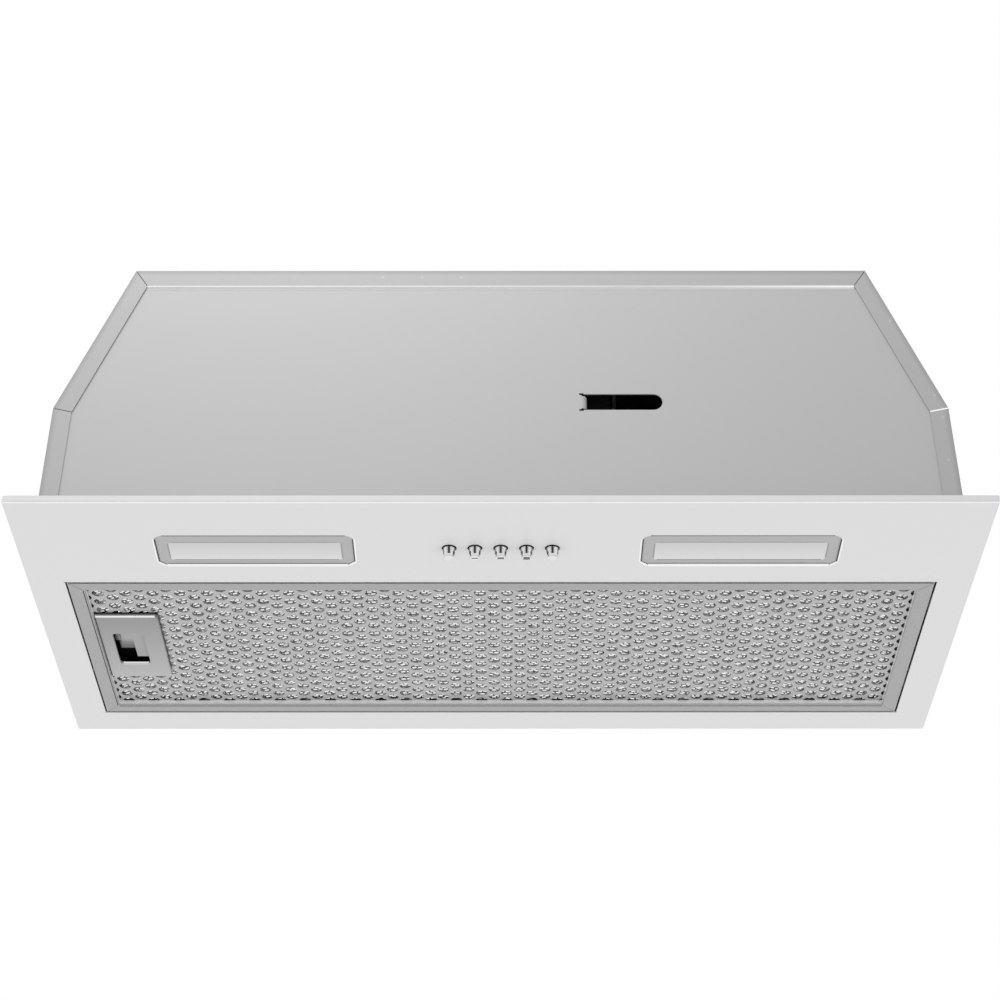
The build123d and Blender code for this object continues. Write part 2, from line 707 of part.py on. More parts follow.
for side, sign in (("left", -1), ("right", 1)):
    with BuildPart() as volute:
        extrude(scroll_shell.sketch, amount=sign * volute_outer_x)
        extrude(scroll.sketch, amount=sign * volute_inner_x, mode=Mode.SUBTRACT)
        round_bar((0, axis_y, axis_z), (sign * 2 * volute_outer_x, axis_y, axis_z),
                  inlet_radius, Mode.SUBTRACT)
        for x, y in mount_screw_xys:
            if x * sign > 0:
                tab_x = sorted((sign * (volute_outer_x - volute_wall), x + sign * mount_screw_reach))
                block(tab_x, (y - mount_tab_depth / 2, y + mount_tab_depth / 2),
                      (roof_inner_z - mount_tab_thickness, roof_inner_z))
                round_bar((x, y, roof_inner_z - mount_tab_thickness), (x, y, roof_inner_z),
                          screw_radius + thread_fit, Mode.SUBTRACT)
        if side == "right":
            for y, z in grommet_yzs:
                round_bar((volute_inner_x, y, z), (volute_outer_x, y, z),
                          screw_radius + thread_fit, Mode.SUBTRACT)
    save(volute, f"volute_{side}")
save(screw_group([(x, y, casing_height) for x, y in mount_screw_xys], (0, 0, -1)), "blower_screws")

# Impeller: forward-curved blades between a centre disc and two end rings
blade_mid_radius = (blade_inner + wheel_radius) / 2
with BuildSketch() as blade:
    with BuildLine():
        ThreePointArc((blade_inner + blade_thickness, 0), (blade_mid_radius, -blade_bulge),
                      (wheel_radius - blade_thickness, blade_bulge))
    trace(line_width=blade_thickness)
with BuildPart() as impeller:
    with BuildSketch(Plane.YZ.offset(-wheel_width / 2)):
        with Locations((axis_y, axis_z)):
            with PolarLocations(0, blade_count):
                add(blade.sketch_local)
    extrude(amount=wheel_width)
    for x in (-wheel_width / 2, wheel_width / 2 - wheel_ring):
        with BuildSketch(Plane.YZ.offset(x)):
            with Locations((axis_y, axis_z)):
                Circle(wheel_radius)
                Circle(blade_inner, mode=Mode.SUBTRACT)
        extrude(amount=wheel_ring)
    round_bar((-wheel_disc / 2, axis_y, axis_z), (wheel_disc / 2, axis_y, axis_z), wheel_radius)
    round_bar((-hub_length, axis_y, axis_z), (wheel_disc / 2, axis_y, axis_z), hub_radius)
    round_bar((-hub_length, axis_y, axis_z), (wheel_disc, axis_y, axis_z),
              shaft_radius + thread_fit, Mode.SUBTRACT)
save(impeller, "impeller")

# Motor inside the wheel's right half, on a three-armed bracket with rubber grommets
motor_radius = blade_inner - motor_clearance
motor_near_x = wheel_disc / 2 + motor_gap
bracket_x = volute_outer_x + grommet_height
shaft_far_x = -hub_length - shaft_nut_height - shaft_stand
with BuildPart() as motor:
    round_bar((motor_near_x, axis_y, axis_z), (bracket_x, axis_y, axis_z), motor_radius)
    fillet(motor.edges().filter_by(GeomType.CIRCLE).sort_by(Axis.X)[0], radius=motor_radius / 6)
    round_bar((motor_near_x, axis_y, axis_z), (motor_near_x + shaft_grip + shaft_clearance, axis_y, axis_z),
              shaft_radius + shaft_clearance, Mode.SUBTRACT)
save(motor, "motor")
with BuildPart() as motor_shaft:
    round_bar((shaft_far_x, axis_y, axis_z), (motor_near_x + shaft_grip - hole_clearance, axis_y, axis_z),
              shaft_radius)
save(motor_shaft, "motor_shaft")
with BuildPart() as shaft_nut:
    with BuildSketch(Plane.YZ.offset(-hub_length - shaft_nut_height)):
        with Locations((axis_y, axis_z)):
            RegularPolygon(shaft_nut_flats / 2, 6, major_radius=False)
            Circle(shaft_radius + thread_fit, mode=Mode.SUBTRACT)
    extrude(amount=shaft_nut_height)
save(shaft_nut, "shaft_nut")
with BuildPart() as motor_bracket:
    with BuildSketch(Plane.YZ.offset(bracket_x)):
        with Locations((axis_y, axis_z)):
            Circle(motor_radius)
        for y, z in grommet_yzs:
            with BuildLine():
                Line((axis_y, axis_z), (y, z))
            trace(line_width=bracket_arm)
            with Locations((y, z)):
                Circle(bracket_arm / 2)
        with Locations(*grommet_yzs):
            Circle(screw_radius + hole_clearance, mode=Mode.SUBTRACT)
    extrude(amount=bracket_thickness)
save(motor_bracket, "motor_bracket")
with BuildPart() as motor_grommets:
    for y, z in grommet_yzs:
        round_bar((volute_outer_x, y, z), (bracket_x, y, z), grommet_radius)
        round_bar((volute_outer_x, y, z), (bracket_x, y, z), screw_radius + hole_clearance, Mode.SUBTRACT)
save(motor_grommets, "motor_grommets")
save(screw_group([(bracket_x + bracket_thickness, y, z) for y, z in grommet_yzs], (-1, 0, 0)), "motor_screws")

# Outlet collar: a spigot on a flange, with a ledge that the flaps close on
collar_top = casing_height + collar_height
flange_top_z = casing_height + collar_flange_thickness
ledge_top_z = flange_top_z + ledge_thickness
knuckle_radius = axle_radius + axle_fit + knuckle_wall
flap_low_z = ledge_top_z + flap_lift
axle_z = flap_low_z + knuckle_radius + flap_lift
axle_half = collar_radius - duct_fit
with BuildPart() as outlet_collar:
    round_bar((0, collar_y, casing_height), (0, collar_y, flange_top_z), flange_radius)
    round_bar((0, collar_y, casing_height), (0, collar_y, collar_top), collar_radius)
    round_bar((0, collar_y, casing_height), (0, collar_y, ledge_top_z), roof_hole_radius, Mode.SUBTRACT)
    round_bar((0, collar_y, ledge_top_z), (0, collar_y, collar_top), collar_bore, Mode.SUBTRACT)
    round_bar((-axle_half, collar_y, axle_z), (axle_half, collar_y, axle_z),
              axle_radius + thread_fit, Mode.SUBTRACT)
    for x, y in collar_screw_xys:
        round_bar((x, y, casing_height), (x, y, flange_top_z), screw_radius + hole_clearance, Mode.SUBTRACT)
save(outlet_collar, "outlet_collar")
save(screw_group([(x, y, flange_top_z) for x, y in collar_screw_xys], (0, 0, -1)), "collar_screws")
with BuildPart() as flap_axle:
    round_bar((-axle_half, collar_y, axle_z), (axle_half, collar_y, axle_z), axle_radius)
save(flap_axle, "flap_axle")

# Back-draft flaps: half discs whose knuckles take turns along the axle
flap_radius = collar_bore - flap_gap
flap_start = knuckle_radius + flap_gap / 2
knuckle_step = knuckle_length + knuckle_gap
for name, sign, first in (("front", -1, -2), ("rear", 1, -1)):
    knuckle_xs = [(first + 2 * i + 0.5) * knuckle_step for i in range(2)]
    with BuildPart() as flap:
        with BuildSketch(Plane.XY.offset(flap_low_z)):
            with Locations((0, collar_y)):
                Circle(flap_radius)
            with Locations((0, collar_y - sign * (flap_radius - flap_start))):
                Rectangle(2 * flap_radius, 2 * flap_radius, mode=Mode.SUBTRACT)
            for x in knuckle_xs:
                with Locations((x, collar_y + sign * flap_start / 2)):
                    Rectangle(knuckle_length, flap_start + flap_thickness)
        extrude(amount=flap_thickness)
        for x in knuckle_xs:
            ends = [(x + end * knuckle_length / 2, collar_y, axle_z) for end in (-1, 1)]
            round_bar(*ends, knuckle_radius)
        round_bar((-axle_half, collar_y, axle_z), (axle_half, collar_y, axle_z),
                  axle_radius + axle_fit, Mode.SUBTRACT)
    save(flap, f"flap_{name}")

# Filter levels
frame_low_z = panel_face_z
frame_top_z = frame_low_z + filter_height
skin_low_z = frame_low_z + mesh_recess
skin_top_z = skin_low_z + skin_thickness
upper_skin_top_z = frame_top_z - sheet
upper_skin_low_z = upper_skin_top_z - skin_thickness
skin_half = filter_half - sheet - filter_play
skin_half_depth = filter_depth / 2 - sheet - filter_play

# Latch places, from the filter's left end
latch_x0 = -filter_half + frame_lip + latch_gap
latch_x1 = latch_x0 + latch_width
latch_x = (latch_x0 + latch_x1) / 2
latch_y = filter_y + latch_shift
latch_y0 = latch_y - latch_length / 2
latch_y1 = latch_y + latch_length / 2
latch_face_z = skin_low_z - latch_stand
latch_floor_z = latch_face_z + latch_wall
cut_x_span = (latch_x0 + case_inset, latch_x1 - case_inset)
cut_y_span = (latch_y0 + case_inset, latch_y1 - case_inset)
case_x_span = (cut_x_span[0] + filter_play, cut_x_span[1] - filter_play)
case_y_span = (cut_y_span[0] + filter_play, cut_y_span[1] - filter_play)
case_top_z = latch_floor_z + case_height
tab_low_z = latch_floor_z + bolt_play
tab_top_z = tab_low_z + tab_thickness
bolt_low_z = skin_top_z + 2 * bolt_play
bolt_top_z = bolt_low_z + bolt_thickness
bolt_tip_x = -opening_half - bolt_grip
bolt_y_span = (latch_y - bolt_width / 2, latch_y + bolt_width / 2)
bolt_slot_y = (bolt_y_span[0] - bolt_play, bolt_y_span[1] + bolt_play)
bolt_slot_z = (bolt_low_z - bolt_play, bolt_top_z + bolt_play)

# Filter frame: a channel with its inner lip turned up to carry the mesh
with BuildPart() as filter_frame:
    frame_y_span = (filter_front_y, filter_rear_y)
    block((-filter_half, filter_half), frame_y_span, (frame_low_z, frame_top_z))
    wall_x = filter_half - sheet
    block((-wall_x, wall_x), (filter_front_y + sheet, filter_rear_y - sheet),
          (frame_low_z + sheet, frame_top_z - sheet), Mode.SUBTRACT)
    lip_x = filter_half - frame_lip
    lip_y_span = (filter_front_y + frame_lip, filter_rear_y - frame_lip)
    block((-lip_x, lip_x), lip_y_span, (frame_low_z, frame_top_z), Mode.SUBTRACT)
    block((-lip_x, lip_x), lip_y_span, (frame_low_z, skin_low_z))
    hem_x = lip_x - sheet
    hem_y_span = (lip_y_span[0] + sheet, lip_y_span[1] - sheet)
    block((-hem_x, hem_x), hem_y_span, (frame_low_z, skin_low_z), Mode.SUBTRACT)
    fillet(filter_frame.edges().group_by(Axis.Z)[0], radius=frame_round)
    block((-filter_half, -wall_x), bolt_slot_y, bolt_slot_z, Mode.SUBTRACT)
save(filter_frame, "filter_frame")


def mesh_centres(skip_latch):
    """Centres of the staggered holes in a filter skin, left out where the latch goes through."""
    reach_x = hem_x - mesh_border - mesh_hole_radius
    reach_y = filter_depth / 2 - frame_lip - sheet - mesh_border - mesh_hole_radius
    columns = int(reach_x // mesh_column_pitch)
    rows = int(reach_y // mesh_hole_pitch) + 1
    centres = []
    for column in range(-columns, columns + 1):
        stagger = mesh_hole_pitch / 2 if column % 2 else 0
        for row in range(-rows, rows + 1):
            x = column * mesh_column_pitch
            y = row * mesh_hole_pitch + stagger
            margin = mesh_hole_radius + mesh_border
            in_x = cut_x_span[0] - margin < x < cut_x_span[1] + margin
            in_y = cut_y_span[0] - margin < filter_y + y < cut_y_span[1] + margin
            if abs(y) <= reach_y and not (skip_latch and in_x and in_y):
                centres.append((x, filter_y + y))
    return centres


# Perforated skins with a corrugated foil between them
with BuildPart() as filter_skin_lower:
    with BuildSketch(Plane.XY.offset(skin_low_z)):
        with Locations((0, filter_y)):
            Rectangle(2 * skin_half, 2 * skin_half_depth)
        with Locations(*mesh_centres(True)):
            Circle(mesh_hole_radius, mode=Mode.SUBTRACT)
        with Locations((latch_x, latch_y)):
            Rectangle(cut_x_span[1] - cut_x_span[0], cut_y_span[1] - cut_y_span[0], mode=Mode.SUBTRACT)
    extrude(amount=skin_thickness)
save(filter_skin_lower, "filter_skin_lower")
with BuildPart() as filter_skin_upper:
    with BuildSketch(Plane.XY.offset(upper_skin_low_z)):
        with Locations((0, filter_y)):
            Rectangle(2 * skin_half, 2 * skin_half_depth)
        with Locations(*mesh_centres(False)):
            Circle(mesh_hole_radius, mode=Mode.SUBTRACT)
    extrude(amount=skin_thickness)
save(filter_skin_upper, "filter_skin_upper")
with BuildPart() as filter_core:
    core_x = skin_half - filter_play
    core_y = skin_half_depth - filter_play
    core_z_span = (skin_top_z + core_gap, upper_skin_low_z - core_gap)
    folds = 2 * round(2 * core_x / core_pitch)
    fold_levels = (core_z_span[0], core_z_span[1] - core_foil)
    crests = [(-core_x + i * 2 * core_x / folds, fold_levels[i % 2]) for i in range(folds + 1)]
    with BuildSketch(Plane.XZ.offset(-filter_y)):
        Polygon(*crests, *[(x, z + core_foil) for x, z in reversed(crests)], align=None)
    extrude(amount=core_y, both=True)
    block(cut_x_span, cut_y_span, core_z_span, Mode.SUBTRACT)
    block((-core_x, cut_x_span[1]), (bolt_slot_y[0] - bolt_play, bolt_slot_y[1] + bolt_play),
          core_z_span, Mode.SUBTRACT)
save(filter_core, "filter_core")

# Hooks: goosenecks whose rolled ends roll on the panel's edge as the filter swings down
pivot_x = opening_half + hook_pin_setback
pivot_z = panel_inner_z + hook_pin_radius + hook_pin_gap
hook_top_z = pivot_z + hook_rise
with BuildPart() as filter_hooks:
    for y in (filter_y - hook_spacing / 2, filter_y + hook_spacing / 2):
        y_span = (y - hook_width / 2, y + hook_width / 2)
        round_bar((pivot_x, y_span[0], pivot_z), (pivot_x, y_span[1], pivot_z), hook_pin_radius)
        block((pivot_x - hook_sheet / 2, pivot_x + hook_sheet / 2), y_span, (pivot_z, hook_top_z))
        block((filter_half, pivot_x + hook_sheet / 2), y_span, (hook_top_z - hook_sheet, hook_top_z))
        block((filter_half, filter_half + hook_sheet), y_span,
              (hook_top_z - hook_sheet, hook_top_z + hook_leaf))
save(filter_hooks, "filter_hooks")

# Latch plate: a shallow pan on the mesh with a window for the finger tab
window_x = latch_x + window_shift
window_y_span = (latch_y + window_back - window_length / 2, latch_y + window_back + window_length / 2)
with BuildPart() as latch_plate:
    block((latch_x0, latch_x1), (latch_y0, latch_y1), (latch_face_z, skin_low_z))
    fillet(latch_plate.edges().filter_by(Axis.Z).group_by(Axis.X)[-1], radius=latch_corner)
    fillet(latch_plate.edges().group_by(Axis.Z)[0], radius=latch_edge)
    block((latch_x0 + latch_wall, latch_x1 - latch_wall), (latch_y0 + latch_wall, latch_y1 - latch_wall),
          (latch_floor_z, skin_low_z), Mode.SUBTRACT)
    with BuildSketch(Plane.XY.offset(latch_face_z)):
        with Locations((window_x, latch_y + window_back)):
            RectangleRounded(window_width, window_length, window_corner)
    extrude(amount=latch_wall, mode=Mode.SUBTRACT)
save(latch_plate, "latch_plate")

# Latch case behind the plate, open towards it and slotted for the bolt
with BuildPart() as latch_case:
    block(case_x_span, case_y_span, (latch_floor_z, case_top_z))
    block((case_x_span[0] + case_wall, case_x_span[1] - case_wall),
          (case_y_span[0] + case_wall, case_y_span[1] - case_wall),
          (latch_floor_z, case_top_z - case_wall), Mode.SUBTRACT)
    block((case_x_span[0], case_x_span[0] + case_wall), bolt_slot_y, bolt_slot_z, Mode.SUBTRACT)
save(latch_case, "latch_case")

# Latch slide: an angled finger tab under a flat bolt
tab_right_x = window_x + window_width / 2 - bolt_play
tab_front_y = window_y_span[0] - bolt_play
tab_step_y = window_y_span[0] + tab_front_length
tab_rear_y = window_y_span[1] - tab_rear_gap
bolt_rear_x = tab_right_x - tab_side_width / 2
with BuildPart() as latch_slide:
    block((tab_right_x - tab_front_width, tab_right_x), (tab_front_y, tab_step_y), (tab_low_z, tab_top_z))
    block((tab_right_x - tab_side_width, tab_right_x), (tab_front_y, tab_rear_y), (tab_low_z, tab_top_z))
    block((tab_right_x - tab_side_width, bolt_rear_x), bolt_y_span, (tab_low_z, bolt_top_z))
    block((bolt_tip_x, bolt_rear_x), bolt_y_span, (bolt_low_z, bolt_top_z))
    tab_edges = latch_slide.edges().group_by(Axis.Z)[0]
    fillet(tab_edges.filter_by(Axis.Y).sort_by(Axis.X)[0], radius=tab_round)
    chamfer(latch_slide.faces().sort_by(Axis.X)[0].edges().filter_by(Axis.Y).sort_by(Axis.Z)[0],
            length=bolt_thickness / 2)
save(latch_slide, "latch_slide")

latch_spring_x0 = bolt_rear_x + latch_spring_wire / 2 + spring_end_gap
latch_spring_x1 = case_x_span[1] - case_wall - latch_spring_wire / 2 - spring_end_gap
bolt_mid_z = (bolt_low_z + bolt_top_z) / 2
with BuildPart() as latch_spring:
    with BuildLine() as coil:
        Helix((latch_spring_x1 - latch_spring_x0) / latch_spring_turns, latch_spring_x1 - latch_spring_x0,
              latch_spring_radius, center=(latch_spring_x0, latch_y, bolt_mid_z), direction=(1, 0, 0))
    with BuildSketch(Plane(origin=coil.line @ 0, z_dir=coil.line % 0)):
        Circle(latch_spring_wire / 2)
    sweep(is_frenet=True)
save(latch_spring, "latch_spring")

# Strike on the panel, under the bolt
with BuildPart() as latch_strike:
    block((-opening_half - bolt_grip - bolt_play, -opening_half),
          (latch_y - strike_length / 2, latch_y + strike_length / 2),
          (panel_inner_z, bolt_low_z - bolt_play))
save(latch_strike, "latch_strike")

# Internal wiring: switches to each light, switches to the terminal box, terminal box to the motor
lead_y = button_y + block_half_depth - lead_edge_gap
lead_z = (bezel_top_z + housing_top_z) / 2 + lead_radius
with BuildPart() as light_leads:
    for side, place in zip((-1, 1), lamp_places.values()):
        round_bar((side * block_half_length, lead_y, lead_z),
                  (place[0] - side * housing_length / 2, lead_y, lead_z), lead_radius)
save(light_leads, "light_leads")


def bent_lead(points):
    """A round lead along straight runs with rounded corners."""
    with BuildPart() as lead:
        with BuildLine() as route:
            FilletPolyline(*points, radius=lead_bend)
        with BuildSketch(Plane(origin=route.line @ 0, z_dir=route.line % 0)):
            Circle(lead_radius)
        sweep()
    return lead


lead_high_z = cover_top_z + lead_rise
save(bent_lead([(switch_lead_x, button_y, block_top_z), (switch_lead_x, button_y, lead_high_z),
                (box_x_span[0], button_y, lead_high_z)]), "switch_lead")
motor_lead_x = (bracket_x + bracket_thickness + box_x_span[0]) / 2
motor_exit = (axis_y - motor_radius / 3, axis_z - motor_radius / 3)
save(bent_lead([(box_x_span[0] + terminal_wall, box_y, inlet_z), (motor_lead_x, box_y, inlet_z),
                (motor_lead_x, *motor_exit), (bracket_x + bracket_thickness, *motor_exit)]), "motor_lead")
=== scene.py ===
# %% [markdown]
# # Under-cabinet range hood
# This lesson dresses a built-in range hood, the kind that hides inside a wall cabinet and shows only
# its flat face panel from below. The construction model already has every solid in its place, so most
# of the work here is surface: enamel, coated sheet steel, aluminium, chrome and moulded plastic.
# A few pieces are made new, because they are too fine for the solids: the perforated skins of the
# grease filter, the expanded metal inside it, weld dots, mitre seams and the marks on the buttons.
# The springs are made new as well, as merged copies of their solids.

# %% Load the frame
import bpy
import bmesh
import json
import math
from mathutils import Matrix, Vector

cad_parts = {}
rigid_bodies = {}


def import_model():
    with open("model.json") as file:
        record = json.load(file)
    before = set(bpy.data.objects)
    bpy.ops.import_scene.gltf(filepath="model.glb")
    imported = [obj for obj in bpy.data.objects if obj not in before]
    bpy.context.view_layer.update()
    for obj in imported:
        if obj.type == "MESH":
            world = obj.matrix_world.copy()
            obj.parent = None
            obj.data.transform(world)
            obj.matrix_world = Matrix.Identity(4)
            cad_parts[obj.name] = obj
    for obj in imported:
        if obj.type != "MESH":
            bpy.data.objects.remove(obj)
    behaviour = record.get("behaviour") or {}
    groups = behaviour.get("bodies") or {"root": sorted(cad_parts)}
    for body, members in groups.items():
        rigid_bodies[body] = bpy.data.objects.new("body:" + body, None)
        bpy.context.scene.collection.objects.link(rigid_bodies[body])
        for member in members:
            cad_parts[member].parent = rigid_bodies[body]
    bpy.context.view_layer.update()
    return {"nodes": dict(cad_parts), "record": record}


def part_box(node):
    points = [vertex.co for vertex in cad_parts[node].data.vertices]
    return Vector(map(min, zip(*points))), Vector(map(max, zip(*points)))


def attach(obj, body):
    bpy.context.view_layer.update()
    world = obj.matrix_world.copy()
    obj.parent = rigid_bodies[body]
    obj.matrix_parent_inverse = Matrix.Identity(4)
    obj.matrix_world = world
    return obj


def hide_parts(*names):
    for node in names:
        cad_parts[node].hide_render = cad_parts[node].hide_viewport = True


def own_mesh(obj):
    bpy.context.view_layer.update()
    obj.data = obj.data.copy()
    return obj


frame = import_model()

# %% [markdown]
# ## Small tools
# All sizes below are written in millimetres, as on a drawing, and turned to metres in one place.
# Colours are written as sRGB hex values, as a paint chart or a colour picker gives them, and turned
# to the linear values that shaders work with. One function adds a node, sets it and links it. Each
# input takes a plain value, a socket, or another node, which then gives its first output.

# %% Units, colours and nodes
MM = 0.001
# Kinds of node that come up often
MATH, MIX, RANGE = "ShaderNodeMath", "ShaderNodeMix", "ShaderNodeMapRange"
SPLIT, JOIN, VECTOR = "ShaderNodeSeparateXYZ", "ShaderNodeCombineXYZ", "ShaderNodeVectorMath"


def linear(hex_colour):
    """An sRGB hex colour as linear RGBA."""
    channels = [int(hex_colour[i:i + 2], 16) / 255 for i in (1, 3, 5)]
    return tuple(c / 12.92 if c <= 0.04045 else ((c + 0.055) / 1.055) ** 2.4 for c in channels) + (1.0,)


def add_node(tree, kind, inputs=None, **settings):
    """Add a node, apply its settings, and fill its inputs with values, sockets or other nodes."""
    made = tree.nodes.new(kind)
    for name, value in settings.items():
        setattr(made, name, value)
    for name, value in (inputs or {}).items():
        if isinstance(value, bpy.types.Node):
            value = value.outputs[0]
        if isinstance(value, bpy.types.NodeSocket):
            tree.links.new(value, made.inputs[name])
        else:
            made.inputs[name].default_value = value
    return made


def per_mm(size_mm):
    """The texture scale that gives a pattern of this size on Object coordinates in metres."""
    return 1.0 / (size_mm * MM)


print("one millimetre is", MM, "m, and mid grey #808080 is", round(linear("#808080")[0], 3))

# %% [markdown]
# ## A base for every finish
# Each finish starts from the same skeleton. A noise at the real size of the surface's grain moves the
# colour and the roughness a little and lifts a small bump. Brushed or rolled metal stretches that
# noise along one direction. What differs between finishes is the numbers, and those come from what
# the real material is and how its surface was made. A grain that is too fine to show is drawn coarser
# than it is, at about half a millimetre, the size of one pixel of the picture.

# %% Finish builder
grain_detail, grain_falloff, relief_strength = 3.0, 0.55, 0.35


def finish(name, colour, roughness, metallic=0.0, grain_mm=1.0, stretch=(1, 1, 1), tint=0.03,
           rough_span=0.06, bump_mm=0.01, ior=1.5, fade=None):
    """A procedural finish: grain of a real size in its colour, roughness and bump.

    fade, if given, is (axis, from_mm, to_mm, colour): the colour changes to this one along an axis.
    """
    material = bpy.data.materials.new(name)
    material.use_nodes = True
    tree = material.node_tree
    tree.nodes.clear()
    place = add_node(tree, "ShaderNodeTexCoord").outputs["Object"]
    turned = add_node(tree, "ShaderNodeMapping", {"Vector": place, "Scale": stretch})
    grain = add_node(tree, "ShaderNodeTexNoise",
                     {"Vector": turned, "Scale": per_mm(grain_mm), "Detail": grain_detail,
                      "Roughness": grain_falloff})
    base = linear(colour)
    dark = tuple(c * (1 - tint) for c in base[:3]) + (1.0,)
    light = tuple(min(1.0, c * (1 + tint)) for c in base[:3]) + (1.0,)
    tone = add_node(tree, MIX, {0: grain, 6: dark, 7: light}, data_type="RGBA").outputs[2]
    if fade:
        axis, from_mm, to_mm, far_colour = fade
        along = add_node(tree, SPLIT, {"Vector": place}).outputs[axis]
        ramp = add_node(tree, RANGE, {"Value": along, "From Min": from_mm * MM, "From Max": to_mm * MM})
        tone = add_node(tree, MIX, {0: ramp, 6: tone, 7: linear(far_colour)}, data_type="RGBA").outputs[2]
    gloss = add_node(tree, RANGE, {"Value": grain, "To Min": roughness - rough_span / 2,
                                   "To Max": roughness + rough_span / 2})
    relief = add_node(tree, "ShaderNodeBump", {"Height": grain, "Strength": relief_strength,
                                               "Distance": bump_mm * MM})
    shader = add_node(tree, "ShaderNodeBsdfPrincipled",
                      {"Base Color": tone, "Roughness": gloss, "IOR": ior, "Normal": relief,
                       "Metallic": metallic})
    add_node(tree, "ShaderNodeOutputMaterial", {"Surface": shader})
    return material


def shade(material, share, colour):
    """Mix a colour into a finish, by a share that a node gives."""
    tree = material.node_tree
    base = tree.nodes["Principled BSDF"].inputs["Base Color"]
    mixed = add_node(tree, MIX, {0: share, 6: base.links[0].from_socket, 7: linear(colour)}, data_type="RGBA")
    tree.links.new(mixed.outputs[2], base)


print("a grain of 1 mm has a texture scale of", round(per_mm(1.0)))

# %% [markdown]
# ## Sheet metal
# The face panel is folded steel with a baked light-grey enamel: a dielectric coat, satin, with an
# orange peel of about a millimetre and a half. The casing above it is thinner steel with a grey
# metallic coat, so it gets a share of metal and a finer grain. The folded flanges of the same coat
# look a little darker and cloudier, because the coat is worked over the bends. A painted shade makes
# the panel's front rim darker, and another makes the coats darker just above the panel.

# %% Enamel and coated steel
panel_low, panel_high = (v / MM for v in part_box("face_panel"))
rim_shade_depth = 0.2
# Painted shade: the coats are darker from the panel up to ten millimetres above it
painted_shade_low, painted_shade_high = 0, 10

# Enamel: one even, satin grey, in which the steel's own grain doesn't show, with a painted shade on the front
# rim
panel_enamel = finish("baked_enamel_light_grey", "#D3D3D3", 0.4, grain_mm=1.6, tint=0.006, rough_span=0.05,
                      bump_mm=0.006, fade=("Y", panel_low.y, panel_low.y + rim_shade_depth, "#E3E3E3"))
# Flat coated sheet: a dull silver grey that fades slowly with the light, with a painted shade just above the
# panel
plate_coat = finish("metallic_coat_grey_steel", "#A1A1A1", 0.55, metallic=0.1, grain_mm=0.9, tint=0.012,
                    rough_span=0.06, bump_mm=0.004, fade=("Z", painted_shade_low, painted_shade_high, "#AAAAAA"))
# Bent coated sheet: the same grey with soft clouds, and the same painted shade just above the panel
wrap_coat = finish("metallic_coat_worked_steel", "#9C9C9C", 0.55, metallic=0.1, grain_mm=3.2, tint=0.12,
                   rough_span=0.08, bump_mm=0.008, fade=("Z", painted_shade_low, painted_shade_high, "#A2A2A2"))
# Zinc plating: a cool, half-bright metal on screws, springs and brackets
zinc = finish("zinc_plated_steel", "#B9BCC0", 0.34, metallic=1.0, grain_mm=0.8, tint=0.05, rough_span=0.12,
              bump_mm=0.008)
print("sheet finishes:", [m.name for m in (panel_enamel, plate_coat, wrap_coat, zinc)])

# %% [markdown]
# ## Outer edges of the flanges
# The end flanges get a painted shade, darker over their last three millimetres towards the casing's
# outer bends. The shade follows the distance to the casing's outline: its sides, its slopes and its
# roof. It stays on the flanges, and the sheets behind them keep their tone.

# %% Shaded outer edges
wrap_low, wrap_high = (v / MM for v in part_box("casing_wrap"))
base_corner = (wrap_high.x, wrap_low.z)
shoulder_corner = (243.7, 64.5)
roof_corner = (205.0, wrap_high.z)
edge_reach, edge_dark, flange_gauge = 3.2, 0.23, 0.8


def inset_from(tree, across, up, lower, upper):
    """How far a point lies inside the edge through two corners of the casing's outline."""
    slant = (upper[0] - lower[0]) / (upper[1] - lower[1])
    climb = add_node(tree, MATH, {0: up, 1: lower[1] * MM}, operation="SUBTRACT")
    edge_x = add_node(tree, MATH, {0: climb, 1: slant, 2: lower[0] * MM}, operation="MULTIPLY_ADD")
    level_gap = add_node(tree, MATH, {0: edge_x, 1: across}, operation="SUBTRACT")
    return add_node(tree, MATH, {0: level_gap, 1: math.hypot(1, slant)}, operation="DIVIDE")


tree = wrap_coat.node_tree
at = add_node(tree, SPLIT, {0: tree.nodes["Texture Coordinate"].outputs["Object"]}).outputs
across = add_node(tree, MATH, {0: at["X"]}, operation="ABSOLUTE")
nearest = add_node(tree, MATH, {0: roof_corner[1] * MM, 1: at["Z"]}, operation="SUBTRACT")
for lower, upper in ((base_corner, shoulder_corner), (shoulder_corner, roof_corner)):
    inset = inset_from(tree, across, at["Z"], lower, upper)
    nearest = add_node(tree, MATH, {0: nearest, 1: inset}, operation="MINIMUM")
# Painted shade: darker towards the outline of the end flanges
painted_edge_shade = add_node(tree, RANGE, {"Value": nearest, "From Max": edge_reach * MM, "To Min": edge_dark,
                                 "To Max": 0.0})
from_middle = add_node(tree, MATH, {0: at["Y"]}, operation="ABSOLUTE")
flange_y = (wrap_high.y - flange_gauge) * MM
on_flange = add_node(tree, MATH, {0: from_middle, 1: flange_y}, operation="GREATER_THAN")
shade(wrap_coat, add_node(tree, MATH, {0: painted_edge_shade, 1: on_flange}, operation="MULTIPLY"), "#101010")
print("casing from", [round(v, 2) for v in wrap_low], "to", [round(v, 2) for v in wrap_high])

# %% [markdown]
# ## Aluminium
# The filter's frame is rolled from mill-finish aluminium, whose rolling lines run along each rail.
# The skins and the expanded metal inside are the same metal, brighter and smoother, so that single
# strands catch the light.

# %% Aluminium finishes
# Mill finish: a soft grey sheen with faint lines along the rails
frame_aluminium = finish("mill_finish_aluminium", "#A7A7A7", 0.42, metallic=0.5, grain_mm=1.4,
                         stretch=(0.3, 1, 1), tint=0.16, rough_span=0.08, bump_mm=0.006)
# Punched sheet: paler and a little shinier than the frame
skin_aluminium = finish("perforated_aluminium_skin", "#B4B4B4", 0.36, metallic=0.6, grain_mm=0.7, tint=0.05,
                        rough_span=0.1, bump_mm=0.01)
